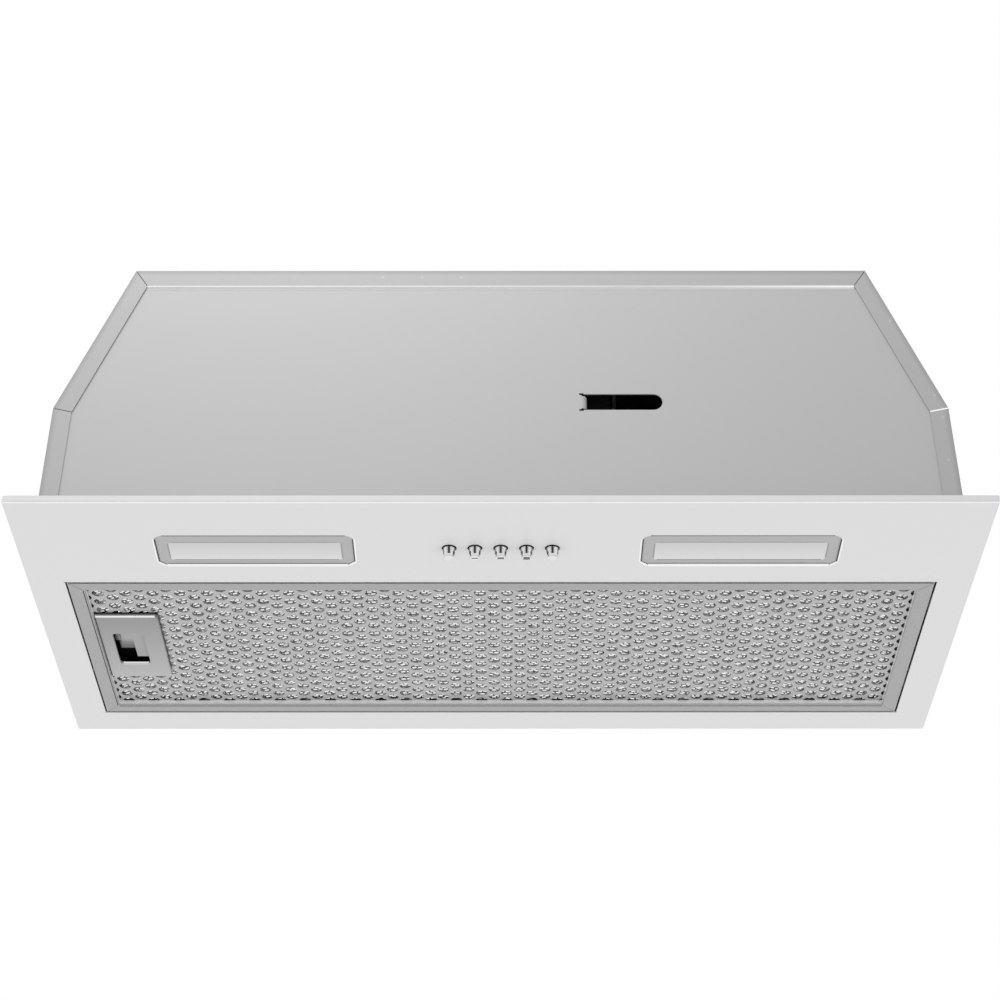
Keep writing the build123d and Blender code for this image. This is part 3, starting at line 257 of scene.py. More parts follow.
# Cut strands: almost white where they face the light
strand_aluminium = finish("expanded_aluminium_strand", "#F4F4F4", 0.26, metallic=0.7, grain_mm=0.6, tint=0.04,
                          rough_span=0.12, bump_mm=0.02)
# Crumpled foil: a broken grey glitter behind the strands
foil_aluminium = finish("packed_aluminium_foil", "#BCBCBC", 0.3, metallic=0.6, grain_mm=1.7, tint=0.08,
                        rough_span=0.12, bump_mm=0.4)
# Drawn can: a bright metal with fine lines along the draw
can_aluminium = finish("drawn_aluminium_can", "#C9CBCD", 0.3, metallic=1.0, grain_mm=0.7,
                       stretch=(0.05, 1, 1), tint=0.03, rough_span=0.08, bump_mm=0.006)
print("finishes so far:", len(bpy.data.materials))

# %% [markdown]
# ## Plastics and rubber
# The lights have satin grey ABS bezels round opal polycarbonate lenses, whose fronts get a painted
# shade. The latch is moulded in a slightly darker grey with a fine spark-eroded grain, with a painted
# shade towards its front. The blower and its parts are plain black polypropylene, and the inside of
# the latch's case is painted darker still, as shade.

# %% Moulded finishes
# Painted shade on each lens runs from its front to its rear
lens_front, lens_rear = -95, -78
# Painted shade on the latch plate runs from its front to its rear
latch_front, latch_rear = -8, 69

# Satin ABS: a flat mid grey
bezel_abs = finish("satin_grey_abs_bezel", "#B3B3B3", 0.4, grain_mm=0.5, tint=0.012, bump_mm=0.006)
# Opal polycarbonate: milky, with a painted shade that is darker at its front and lighter towards its rear
lens_opal = finish("opal_polycarbonate_lens", "#CECECE", 0.3, grain_mm=0.8, tint=0.004, bump_mm=0.002,
                   ior=1.58, fade=("Y", lens_front, lens_rear, "#E0E0E0"))
# Spark-grained ABS, on the latch plate and its tab: a soft grey sheen with no clear mirror in it; on the
# plate, a painted shade makes it darker towards its front
latch_abs = finish("spark_grained_grey_abs", "#8F8F8F", 0.34, grain_mm=0.5, tint=0.015, rough_span=0.08,
                   bump_mm=0.006, fade=("Y", latch_front, latch_rear, "#B8B8B8"))
tab_abs = finish("spark_grained_grey_tab", "#A2A2A2", 0.34, grain_mm=0.5, tint=0.015, rough_span=0.08,
                 bump_mm=0.006)
# Near-black polypropylene, darker than the other black parts as painted shade inside the latch's case, with
# hardly any sheen
case_pp = finish("painted_shade_black_polypropylene", "#050505", 0.8, grain_mm=0.6, tint=0.1, bump_mm=0.02, ior=1.12)
# Clean polypropylene: black or dark grey with a waxy sheen
black_pp = finish("black_polypropylene", "#0C0C0D", 0.5, grain_mm=0.6, tint=0.12, rough_span=0.12,
                  bump_mm=0.015)
blower_pp = finish("dark_grey_polypropylene", "#333436", 0.48, grain_mm=0.7, tint=0.1, rough_span=0.12,
                   bump_mm=0.015)
# White ABS and white solder mask: the bright insides of the lights
white_abs = finish("white_moulded_abs", "#E4E3DF", 0.42, grain_mm=0.6, tint=0.015, rough_span=0.08,
                   bump_mm=0.008)
solder_mask = finish("white_solder_mask", "#ECEDEA", 0.35, grain_mm=0.5, tint=0.02, bump_mm=0.004)
# Enamelled steel: glossy black on the motor
motor_enamel = finish("black_enamelled_steel", "#26272A", 0.36, metallic=0.2, grain_mm=1.0, tint=0.1,
                      rough_span=0.12, bump_mm=0.01)
# Rubber and cable sheath: matt, dark, with no highlight
rubber = finish("black_moulded_rubber", "#1C1C1C", 0.7, grain_mm=0.5, tint=0.1, rough_span=0.1, bump_mm=0.02)
sheath = finish("grey_flexible_sheath", "#4A4B4D", 0.5, grain_mm=0.8, tint=0.05, rough_span=0.1, bump_mm=0.01)
print("finishes:", len(bpy.data.materials))

# %% [markdown]
# ## Chrome
# The buttons are ABS with bright chrome plating, a mirror with almost no roughness. The pale panel
# stands all round each cap and would fill that mirror with white, so that chrome would look like
# white plastic. So a painted reflection gives dark streaks down the cap for the gaps between a room's
# lights and a dark band at the root for the mirrored gap round the button, and a painted shade greys
# the tip, darker in a ring on its rounded edge. All of them are laid out round each button's axis.

# %% Round each button's axis
button_low, button_high = (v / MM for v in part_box("button_off"))
button_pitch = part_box("button_speed_low")[0].x / MM - button_low.x
cap_x = (button_low.x + button_high.x) / 2
cap_y = (button_low.y + button_high.y) / 2
tip_z = button_low.z
# Chrome: a clear mirror, white where it meets the light, with painted reflections dark in the streaks
button_chrome = finish("bright_chrome_plating", "#FFFFFF", 0.06, metallic=1.0, grain_mm=1.5, tint=0.01,
                       rough_span=0.03, bump_mm=0.001)
tree = button_chrome.node_tree
at = add_node(tree, SPLIT, {0: tree.nodes["Texture Coordinate"].outputs["Object"]}).outputs
past_first = add_node(tree, MATH, {0: at["X"], 1: cap_x * MM}, operation="SUBTRACT")
half_pitch = button_pitch / 2 * MM
off_x = add_node(tree, MATH, {0: past_first, 1: half_pitch, 2: -half_pitch}, operation="WRAP")
off_y = add_node(tree, MATH, {0: at["Y"], 1: cap_y * MM}, operation="SUBTRACT")
angle = add_node(tree, MATH, {0: off_x, 1: off_y}, operation="ARCTAN2")
x_squared = add_node(tree, MATH, {0: off_x, 1: off_x}, operation="MULTIPLY")
both_squared = add_node(tree, MATH, {0: off_y, 1: off_y, 2: x_squared}, operation="MULTIPLY_ADD")
off_axis = add_node(tree, MATH, {0: both_squared}, operation="SQRT")
print("chrome laid out round", round(cap_x, 2), round(cap_y, 2), "every", round(button_pitch, 2), "mm")

# %% Streaks, root, tip and rim
streak_sharpness = 6.0
side_from, side_to, side_dark = 0.72, 0.92, 0.85
streaks_low, streaks_high, root_low, root_high = (tip_z + rise for rise in (1.2, 1.8, 5.1, 5.9))
tip_low, tip_high, tip_dark = tip_z + 0.2, tip_z + 0.7, 0.24
rim_inner, rim_outer, rim_top, rim_dark = 2.3, 2.9, tip_z + 0.6, 0.5

twice = add_node(tree, MATH, {0: angle, 1: 2.0}, operation="MULTIPLY")
wave = add_node(tree, MATH, {0: twice}, operation="COSINE")
crest = add_node(tree, MATH, {0: wave}, operation="ABSOLUTE")
streak = add_node(tree, MATH, {0: crest, 1: streak_sharpness}, operation="POWER")
sideways = add_node(tree, MATH, {0: angle}, operation="SINE")
either_side = add_node(tree, MATH, {0: sideways}, operation="ABSOLUTE")
flanks = add_node(tree, RANGE, {"Value": either_side, "From Min": side_from, "From Max": side_to,
                                "To Max": side_dark})
down_cap = add_node(tree, MATH, {0: streak, 1: flanks}, operation="MAXIMUM")
above_tip = add_node(tree, RANGE, {"Value": at["Z"], "From Min": streaks_low * MM,
                                   "From Max": streaks_high * MM})
painted_reflection_and_shade = add_node(tree, MATH, {0: down_cap, 1: above_tip}, operation="MULTIPLY")
root = add_node(tree, RANGE, {"Value": at["Z"], "From Min": root_low * MM, "From Max": root_high * MM})
tip = add_node(tree, RANGE, {"Value": at["Z"], "From Min": tip_low * MM, "From Max": tip_high * MM,
                             "To Min": tip_dark, "To Max": 0.0})
ring = add_node(tree, RANGE, {"Value": off_axis, "From Min": rim_inner * MM, "From Max": rim_outer * MM,
                              "To Max": rim_dark})
on_tip = add_node(tree, MATH, {0: at["Z"], 1: rim_top * MM}, operation="LESS_THAN")
rim = add_node(tree, MATH, {0: ring, 1: on_tip}, operation="MULTIPLY")
for other in (root, tip, rim):
    painted_reflection_and_shade = add_node(tree, MATH, {0: painted_reflection_and_shade, 1: other}, operation="MAXIMUM")
shade(button_chrome, painted_reflection_and_shade, "#0E0E0E")
print("chrome nodes:", len(tree.nodes))

# %% [markdown]
# ## The latch's tab
# The finger tab is the same grey plastic as its plate, with painted shade in the finger well: it
# darkens towards its left edge, and the bolt behind it fades into the dark. What is in the painted
# shade also loses its sheen.

# %% Shaded tab
tab_left, tab_arm, bolt_front, bolt_rear = -221.45, -214.05, 22.0, 44.0
edge_blur, full_sheen = 1.6, 0.5
tree = tab_abs.node_tree
at = add_node(tree, SPLIT, {0: tree.nodes["Texture Coordinate"].outputs["Object"]}).outputs
# Painted shade: darker towards the tab's left edge and over the bolt behind it, with less sheen there
leftward = add_node(tree, RANGE, {"Value": at["X"], "From Min": (tab_left + edge_blur) * MM,
                                  "From Max": (tab_left - edge_blur) * MM})
rearward = add_node(tree, RANGE, {"Value": at["Y"], "From Min": bolt_front * MM, "From Max": bolt_rear * MM})
beside_arm = add_node(tree, MATH, {0: at["X"], 1: tab_arm * MM}, operation="LESS_THAN")
behind = add_node(tree, MATH, {0: rearward, 1: beside_arm}, operation="MULTIPLY")
in_painted_shade = add_node(tree, MATH, {0: leftward, 1: behind}, operation="MAXIMUM")
shade(tab_abs, in_painted_shade, "#080808")
in_light = add_node(tree, MATH, {0: 1.0, 1: in_painted_shade}, operation="SUBTRACT")
sheen = add_node(tree, MATH, {0: in_light, 1: full_sheen}, operation="MULTIPLY")
tree.links.new(sheen.outputs[0], tree.nodes["Principled BSDF"].inputs["Specular IOR Level"])
print("tab shaded from", tab_left, "to", tab_arm)

# %% [markdown]
# ## Dressing the solids
# A solid whose shape is right keeps its own mesh and only takes a finish. The table below reads like
# a parts list: one finish, then the pieces that have it.

# %% Finishes on the solids
button_names = ("off", "speed_low", "speed_mid", "speed_high", "light")
dress = {
    panel_enamel: ["face_panel"],
    plate_coat: ["front_plate", "rear_plate", "electrics_cover"],
    wrap_coat: ["casing_wrap"],
    zinc: ["rear_screws", "panel_studs", "stud_nuts", "capacitor_clip", "blower_screws", "motor_shaft",
           "shaft_nut", "motor_bracket", "motor_screws", "collar_screws", "flap_axle", "filter_hooks",
           "latch_spring", "latch_strike"] + [f"button_spring_{name}" for name in button_names],
    frame_aluminium: ["filter_frame"],
    can_aluminium: ["capacitor"],
    bezel_abs: ["light_bezel_left", "light_bezel_right"],
    lens_opal: ["light_lens_left", "light_lens_right"],
    latch_abs: ["latch_plate"],
    tab_abs: ["latch_slide"],
    button_chrome: [f"button_{name}" for name in button_names],
    black_pp: ["switch_block", "terminal_box", "terminal_box_lid", "outlet_collar", "flap_front",
               "flap_rear"],
    case_pp: ["latch_case"],
    blower_pp: ["volute_left", "volute_right", "impeller"],
    white_abs: ["light_housing_left", "light_housing_right", "led_driver"],
    solder_mask: ["led_board_left", "led_board_right"],
    motor_enamel: ["motor"],
    rubber: ["motor_grommets"],
    sheath: ["light_leads", "switch_lead", "motor_lead"],
}
for material, names in dress.items():
    for name in names:
        slots = frame["nodes"][name].data.materials
        slots.clear()
        slots.append(material)
print("dressed:", sum(len(names) for names in dress.values()), "solids")

# %% [markdown]
# ## Springs
# A coil spring gets shorter when its button goes in or its latch is pulled. Each spring is shown by a
# copy of its solid, with the loose triangles merged, which rides on its joint's parent.

# %% Springs as merged copies
weld_reach = 0.001 * MM
for joint in frame["record"]["behaviour"]["joints"]:
    for change in joint.get("deforming_nodes", []):
        name, letter = change["node"], change["mode"][-1]
        low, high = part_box(name)
        wire = frame["nodes"][name].data.copy()
        form = bmesh.new()
        form.from_mesh(wire)
        bmesh.ops.remove_doubles(form, verts=form.verts, dist=weld_reach)
        form.to_mesh(wire)
        form.free()
        coil = bpy.data.objects.new(f"coil_{name}", wire)
        bpy.context.scene.collection.objects.link(coil)
        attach(coil, joint["parent"])
        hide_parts(name)
        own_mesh(coil)

# %% [markdown]
# ## A place for new pieces
# New pieces are built where they belong, in the frame's own metres, so their objects stay at the
# origin. A tree of Geometry Nodes repeats a small shape on points. Its result is turned into a plain
# mesh, and the tree's modifier goes away with the helper object.

# %% Mesh and node-tree helpers
def mesh_object(name, verts, faces, material=None):
    """A mesh object at the origin, from vertices in millimetres."""
    mesh = bpy.data.meshes.new(name)
    mesh.from_pydata([tuple(c * MM for c in v) for v in verts], [], faces)
    mesh.validate()
    if material:
        mesh.materials.append(material)
    made = bpy.data.objects.new(name, mesh)
    bpy.context.scene.collection.objects.link(made)
    return made


def face_outwards(made):
    """Turn all faces of closed shells outwards."""
    form = bmesh.new()
    form.from_mesh(made.data)
    bmesh.ops.recalc_face_normals(form, faces=form.faces)
    form.to_mesh(made.data)
    form.free()


def new_tree(name, inputs, result):
    """An empty tree of Geometry Nodes with these named inputs, and the sockets that give them."""
    tree = bpy.data.node_groups.new(name, "GeometryNodeTree")
    for label, kind in inputs.items():
        tree.interface.new_socket(label, in_out="INPUT", socket_type=f"NodeSocket{kind}")
    tree.interface.new_socket(result, in_out="OUTPUT", socket_type="NodeSocketGeometry")
    return tree, add_node(tree, "NodeGroupInput").outputs


def run_tree(tree, name, values):
    """Evaluate a tree with these named inputs and return its result as a plain mesh object."""
    carrier = mesh_object(name + "_carrier", [], [])
    modifier = carrier.modifiers.new("tree", "NODES")
    modifier.node_group = tree
    for item in tree.interface.items_tree:
        if item.in_out == "INPUT":
            modifier[item.identifier] = values[item.name]
    depsgraph = bpy.context.evaluated_depsgraph_get()
    mesh = bpy.data.meshes.new_from_object(carrier.evaluated_get(depsgraph))
    carrier.modifiers.remove(modifier)
    bpy.data.objects.remove(carrier)
    mesh.name = name
    made = bpy.data.objects.new(name, mesh)
    bpy.context.scene.collection.objects.link(made)
    return made


# %% [markdown]
# ## Perforated skins
# Two perforated sheets hold the filter's layers. Their holes stand in columns, with every second
# column moved by half a pitch. A sheet with a thousand holes could be cut with booleans, but it is
# quicker and cleaner to make one tile, a six-sided plate with a round hole, whose outline repeats
# with no gaps, and to set it on a staggered grid of points. Tiles that meet are then merged into one
# sheet, the part under the latch is cut away, and walls close the sheet's edges.

# %% One tile
column_pitch, row_pitch = 7.685, 9.86
hole_radius = 3.5
sheet_gauge = 0.4
hole_sides = 18

knee_x = (column_pitch ** 2 + row_pitch ** 2 / 4) / (2 * column_pitch)
flat_x = knee_x - row_pitch ** 2 / (4 * column_pitch)
outline = [(knee_x, 0), (flat_x, row_pitch / 2), (-flat_x, row_pitch / 2), (-knee_x, 0),
           (-flat_x, -row_pitch / 2), (flat_x, -row_pitch / 2)]
per_side = hole_sides // 6
verts, faces = [], []
for z in (0, sheet_gauge):
    for i in range(6):
        (x0, y0), (x1, y1) = outline[i], outline[(i + 1) % 6]
        for k in range(per_side):
            t = k / per_side
            verts.append((x0 + (x1 - x0) * t, y0 + (y1 - y0) * t, z))
    for x, y, _ in verts[-hole_sides:]:
        reach = math.hypot(x, y)
        verts.append((x / reach * hole_radius, y / reach * hole_radius, z))
n = hole_sides
for i in range(n):
    j = (i + 1) % n
    faces.append((i, n + i, n + j, j))
    faces.append((2 * n + i, 2 * n + j, 3 * n + j, 3 * n + i))
    faces.append((n + i, 3 * n + i, 3 * n + j, n + j))
tile = mesh_object("skin_tile", verts, faces, skin_aluminium)
print("tile:", len(faces), "faces")

# %% The tree that lays tiles: a staggered grid
merge_reach = 0.02
skin_tree, given = new_tree("perforated_skin", {
    "Tile": "Object", "Columns": "Int", "Rows": "Int", "Column Pitch": "Float", "Row Pitch": "Float",
    "Reach": "Float", "Centre": "Vector", "Low Corner": "Vector", "High Corner": "Vector",
    "Material": "Material"}, "Skin")
column_gaps = add_node(skin_tree, MATH, {0: given["Columns"], 1: 1}, operation="SUBTRACT")
row_gaps = add_node(skin_tree, MATH, {0: given["Rows"], 1: 1}, operation="SUBTRACT")
wide = add_node(skin_tree, MATH, {0: column_gaps, 1: given["Column Pitch"]}, operation="MULTIPLY")
deep = add_node(skin_tree, MATH, {0: row_gaps, 1: given["Row Pitch"]}, operation="MULTIPLY")
grid = add_node(skin_tree, "GeometryNodeMeshGrid",
                {"Size X": wide, "Size Y": deep, "Vertices X": given["Columns"],
                 "Vertices Y": given["Rows"]})
where = add_node(skin_tree, SPLIT, {"Vector": add_node(skin_tree, "GeometryNodeInputPosition")}).outputs
from_left = add_node(skin_tree, MATH, {0: wide, 1: 0.5, 2: where["X"]}, operation="MULTIPLY_ADD")
columns_along = add_node(skin_tree, MATH, {0: from_left, 1: given["Column Pitch"]}, operation="DIVIDE")
column = add_node(skin_tree, MATH, {0: columns_along}, operation="ROUND")
odd = add_node(skin_tree, MATH, {0: column, 1: 2.0}, operation="MODULO")
half_row = add_node(skin_tree, MATH, {0: given["Row Pitch"], 1: 0.5}, operation="MULTIPLY")
step_back = add_node(skin_tree, MATH, {0: odd, 1: half_row}, operation="MULTIPLY")
staggered = add_node(skin_tree, "GeometryNodeSetPosition",
                     {"Geometry": grid, "Offset": add_node(skin_tree, JOIN, {"Y": step_back})})
from_middle = add_node(skin_tree, MATH, {0: where["Y"]}, operation="ABSOLUTE")
beyond = add_node(skin_tree, "FunctionNodeCompare", {0: from_middle, 1: given["Reach"]}, data_type="FLOAT",
                  operation="GREATER_THAN")
kept = add_node(skin_tree, "GeometryNodeDeleteGeometry", {"Geometry": staggered, "Selection": beyond},
                domain="POINT")
print("grid nodes:", len(skin_tree.nodes))

# %% The tree that lays tiles: tiles, trim and merge
shape = add_node(skin_tree, "GeometryNodeObjectInfo", {"Object": given["Tile"]}).outputs["Geometry"]
laid = add_node(skin_tree, "GeometryNodeInstanceOnPoints", {"Points": kept, "Instance": shape})
real = add_node(skin_tree, "GeometryNodeRealizeInstances", {"Geometry": laid})
placed = add_node(skin_tree, "GeometryNodeTransform", {"Geometry": real, "Translation": given["Centre"]})
spot = add_node(skin_tree, "GeometryNodeInputPosition")
above = add_node(skin_tree, VECTOR, {0: spot, 1: given["Low Corner"]}, operation="MAXIMUM")
inside = add_node(skin_tree, VECTOR, {0: above, 1: given["High Corner"]}, operation="MINIMUM")
trimmed = add_node(skin_tree, "GeometryNodeSetPosition", {"Geometry": placed, "Position": inside})
merged = add_node(skin_tree, "GeometryNodeMergeByDistance",
                  {"Geometry": trimmed, "Distance": merge_reach * MM})
coated = add_node(skin_tree, "GeometryNodeSetMaterial", {"Geometry": merged, "Material": given["Material"]})
add_node(skin_tree, "NodeGroupOutput", {"Skin": coated})
print("skin nodes:", len(skin_tree.nodes))


# %% Cutting and closing sheets
def cut_window(target, low, high):
    """Cut a mesh along the sides of a box in X and Y and take out what lies inside."""
    form = bmesh.new()
    form.from_mesh(target.data)
    margin = 12 * MM
    for axis, level in ((0, low.x), (0, high.x), (1, low.y), (1, high.y)):
        near = [f for f in form.faces
                if all(max(v.co[k] for v in f.verts) > low[k] - margin for k in (0, 1))
                and all(min(v.co[k] for v in f.verts) < high[k] + margin for k in (0, 1))]
        edges = {e for f in near for e in f.edges}
        corners = {v for f in near for v in f.verts}
        point, normal = Vector((0, 0, 0)), Vector((0, 0, 0))
        point[axis], normal[axis] = level, 1
        bmesh.ops.bisect_plane(form, geom=list(corners) + list(edges) + near, plane_co=point, plane_no=normal)
    gone = [f for f in form.faces if low.x < f.calc_center_median().x < high.x
            and low.y < f.calc_center_median().y < high.y]
    bmesh.ops.delete(form, geom=gone, context="FACES")
    form.to_mesh(target.data)
    form.free()


def close_sides(target, low, high):
    """Clear what the trim pressed flat against a sheet's borders, and join its two faces with walls."""
    form = bmesh.new()
    form.from_mesh(target.data)
    pressed = {f for f in form.faces for axis in (0, 1) for level in (low[axis], high[axis])
               if all(abs(v.co[axis] - level) < weld_reach for v in f.verts)}
    bmesh.ops.delete(form, geom=list(pressed), context="FACES")
    open_edges = [e for e in form.edges if e.is_boundary]
    stacks = {}
    for corner in {v for e in open_edges for v in e.verts}:
        place = (round(corner.co.x / weld_reach), round(corner.co.y / weld_reach))
        stacks.setdefault(place, []).append(corner)
    above = {min(stack, key=lambda v: v.co.z): max(stack, key=lambda v: v.co.z) for stack in stacks.values()}
    for edge in open_edges:
        start = edge.link_loops[0].vert
        end = edge.other_vert(start)
        if start in above and end in above and above[start] not in (start, end):
            form.faces.new((end, start, above[start], above[end]))
    print(target.name, sum(e.is_boundary for e in form.edges), "edges left open")
    form.to_mesh(target.data)
    form.free()


print("points within", weld_reach / MM, "mm count as one")

# %% Both skins
hole_columns, hole_rows, row_reach = 62, 17, 80.0
lattice_x, lattice_y = -0.15, -0.2
plate_low, plate_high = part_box("latch_plate")
slot_front, slot_side, cover = 1.6 * MM, 0.8 * MM, 1.0 * MM
for level in ("lower", "upper"):
    low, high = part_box(f"filter_skin_{level}")
    centre = (low + high) / 2
    skin = run_tree(skin_tree, f"perforated_skin_{level}", {
        "Tile": tile, "Columns": hole_columns, "Rows": hole_rows, "Column Pitch": column_pitch * MM,
        "Row Pitch": row_pitch * MM, "Reach": row_reach * MM, "Material": skin_aluminium, "Low Corner": low,
        "High Corner": high, "Centre": Vector((lattice_x * MM, centre.y + lattice_y * MM, low.z))})
    if level == "lower":
        slot_low = plate_low + Vector((cover, -slot_front, 0))
        cut_window(skin, slot_low, plate_high + Vector((slot_side, -cover, 0)))
    close_sides(skin, low, high)
    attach(skin, "filter")
    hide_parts(f"filter_skin_{level}")
    print(skin.name, len(skin.data.polygons), "faces")
bpy.data.objects.remove(tile)

# %% [markdown]
# ## Expanded metal
# Between the skins lie layers of expanded metal: foil that is slit and pulled open into a net. Pulling
# turns each strand on edge, like a slat of a blind, so each hole of the skin shows a few bright strokes
# with dark slits between them. Pulling also bows the rows of strands, which is why the strokes lean
# one way at the left of the filter and the other way at the right. One mesh of the net is two strands
# in staggered rows, and the layer repeats it with a small random tilt, which makes it glitter. A
# coarser net lies above it.

# %% One mesh of the net
# The real strands are finer: these are coarse enough to show as single strokes
net_long, net_short = 3.4, 4.8
strand_length, strand_width, strand_gauge = 2.5, 0.72, 0.14
strand_lean = math.radians(35)


def strand(x, y):
    """Corners and faces of a flat strand centred on a point, leaning like a slat of a blind."""
    along = Vector((strand_length / 2, 0, 0))
    across = Vector((0, math.cos(strand_lean), -math.sin(strand_lean))) * strand_width / 2
    through = Vector((0, math.sin(strand_lean), math.cos(strand_lean))) * strand_gauge / 2
    ring = (-across - through, across - through, across + through, -across + through)
    corners = [tuple(Vector((x, y, 0)) + end + reach) for end in (-along, along) for reach in ring]
    sides = [(i, (i + 1) % 4, 4 + (i + 1) % 4, 4 + i) for i in range(4)]
    return corners, [(3, 2, 1, 0), (4, 5, 6, 7)] + sides


verts, faces = [], []
for corners, sides in (strand(-net_long / 4, -net_short / 4), strand(net_long / 4, net_short / 4)):
    faces += [tuple(len(verts) + i for i in side) for side in sides]
    verts += corners
knuckle = mesh_object("core_knuckle", verts, faces, strand_aluminium)
face_outwards(knuckle)
print("mesh of the net:", len(faces), "faces")

# %% The tree that lays the net
net_tree, given = new_tree("expanded_net", {
    "Knuckle": "Object", "Across": "Int", "Deep": "Int", "Size": "Float", "Wide": "Float", "Long": "Float",
    "Bow": "Float", "Least Y": "Float", "Most Y": "Float", "Centre": "Vector", "Tilt": "Vector",
    "Seed": "Int", "Material": "Material"}, "Net")
grid = add_node(net_tree, "GeometryNodeMeshGrid",
                {"Size X": given["Wide"], "Size Y": given["Long"], "Vertices X": given["Across"],
                 "Vertices Y": given["Deep"]})
where = add_node(net_tree, SPLIT, {"Vector": add_node(net_tree, "GeometryNodeInputPosition")}).outputs
x_squared = add_node(net_tree, MATH, {0: where["X"], 1: where["X"]}, operation="MULTIPLY")
back = add_node(net_tree, MATH, {0: given["Bow"], 1: x_squared}, operation="MULTIPLY")
bowing = add_node(net_tree, JOIN, {"Y": back})
shift = add_node(net_tree, VECTOR, {0: bowing, 1: given["Centre"]}, operation="ADD")
bowed = add_node(net_tree, "GeometryNodeSetPosition", {"Geometry": grid, "Offset": shift})
before = add_node(net_tree, MATH, {0: where["Y"], 1: given["Least Y"]}, operation="LESS_THAN")
past = add_node(net_tree, MATH, {0: where["Y"], 1: given["Most Y"]}, operation="GREATER_THAN")
spare = add_node(net_tree, MATH, {0: before, 1: past}, operation="MAXIMUM")
kept = add_node(net_tree, "GeometryNodeDeleteGeometry", {"Geometry": bowed, "Selection": spare},
                domain="POINT")
shape = add_node(net_tree, "GeometryNodeObjectInfo", {"Object": given["Knuckle"]}).outputs["Geometry"]
least = add_node(net_tree, VECTOR, {0: given["Tilt"], 1: (-1, -1, -1)}, operation="MULTIPLY")
bent = add_node(net_tree, "FunctionNodeRandomValue", {0: least, 1: given["Tilt"], "Seed": given["Seed"]},
                data_type="FLOAT_VECTOR")
twice_bow = add_node(net_tree, MATH, {0: given["Bow"], 1: 2.0}, operation="MULTIPLY")
steep = add_node(net_tree, MATH, {0: twice_bow, 1: where["X"]}, operation="MULTIPLY")
slope = add_node(net_tree, MATH, {0: steep}, operation="ARCTANGENT")
turn = add_node(net_tree, VECTOR, {0: add_node(net_tree, JOIN, {"Z": slope}), 1: bent}, operation="ADD")
laid = add_node(net_tree, "GeometryNodeInstanceOnPoints",
                {"Points": kept, "Instance": shape, "Rotation": turn, "Scale": given["Size"]})
real = add_node(net_tree, "GeometryNodeRealizeInstances", {"Geometry": laid})
coated = add_node(net_tree, "GeometryNodeSetMaterial", {"Geometry": real, "Material": given["Material"]})
add_node(net_tree, "NodeGroupOutput", {"Net": coated})
print("net nodes:", len(net_tree.nodes))

# %% Two layers of net
side_room, front_room, rear_room, rear_gap = 9.6, 9.5, 4.2, 2.0
core_low, core_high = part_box("filter_core")
net_low = core_low + Vector((side_room, front_room, 0)) * MM
net_high = core_high - Vector((side_room, rear_room, 0)) * MM
bow = 1.05
bow_depth = bow * net_high.x ** 2
hollow = -1.0 * MM
tilt, tilt_seed = Vector((0.22, 0.12, 0.1)), 7


def near_latch(point):
    """Whether a point lies where the latch takes the place of the net."""
    return point.x < plate_high.x + hollow and plate_low.y - hollow < point.y < plate_high.y - cover


for name, size, rise in (("expanded_net_lower", 1.0, 0.45), ("expanded_net_upper", 1.5, 4.4)):
    across, deep = net_long * size * MM, net_short * size * MM
    wide = net_high.x - net_low.x - across
    long = net_high.y - net_low.y + bow_depth - deep
    net = run_tree(net_tree, name, {
        "Knuckle": knuckle, "Size": size, "Across": round(wide / across) + 1, "Deep": round(long / deep) + 1,
        "Wide": wide, "Long": long, "Bow": bow, "Tilt": tilt, "Seed": tilt_seed, "Material": strand_aluminium,
        "Least Y": net_low.y + deep / 2, "Most Y": net_high.y - rear_gap * MM,
        "Centre": Vector((0, (net_low.y + net_high.y - bow_depth) / 2, core_low.z + rise * MM))})
    form = bmesh.new()
    form.from_mesh(net.data)
    hidden = [v for v in form.verts if near_latch(v.co)]
    gone = {v for seed in hidden for f in seed.link_faces for v in f.verts}
    bmesh.ops.delete(form, geom=list(gone), context="VERTS")
    form.to_mesh(net.data)
    form.free()
    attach(net, "filter")
    print(net.name, len(net.data.polygons), "faces")
bpy.data.objects.remove(knuckle)

# %% [markdown]
# ## Pleated foil
# Behind the net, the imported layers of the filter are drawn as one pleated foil. Its profile is a
# cosine, drawn out along the filter, and the piece under the latch is cut out of it.

# %% One sheet of pleats
pleat, pleat_height, pleat_steps = 2.85, 0.62, 8
foil_gauge, foil_rise = 0.12, 2.0
foil_low, foil_high = net_low / MM, net_high / MM
count = int((foil_high.y - foil_low.y) / pleat) * pleat_steps
profile = []
for i in range(count + 1):
    y = foil_low.y + i * pleat / pleat_steps
    profile.append((y, foil_low.z + foil_rise + pleat_height / 2 * math.cos(2 * math.pi * i / pleat_steps)))
verts = [(x, y, z + lift) for lift in (0, foil_gauge) for x in (foil_low.x, foil_high.x) for y, z in profile]
n = len(profile)
faces = []
for i in range(n - 1):
    faces.append((i, i + 1, n + i + 1, n + i))
    faces.append((2 * n + i, 3 * n + i, 3 * n + i + 1, 2 * n + i + 1))
    faces.append((i, 2 * n + i, 2 * n + i + 1, i + 1))
    faces.append((n + i, n + i + 1, 3 * n + i + 1, 3 * n + i))
faces.append((0, n, 3 * n, 2 * n))
faces.append((n - 1, 3 * n - 1, 4 * n - 1, 2 * n - 1))
foil = mesh_object("pleated_foil", verts, faces, foil_aluminium)
face_outwards(foil)
cut_window(foil, plate_low + Vector((-cover, -hollow, 0)), plate_high + Vector((hollow, -cover, 0)))
close_sides(foil, core_low, core_high)
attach(foil, "filter")
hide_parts("filter_core")
print(foil.name, len(foil.data.polygons), "faces")

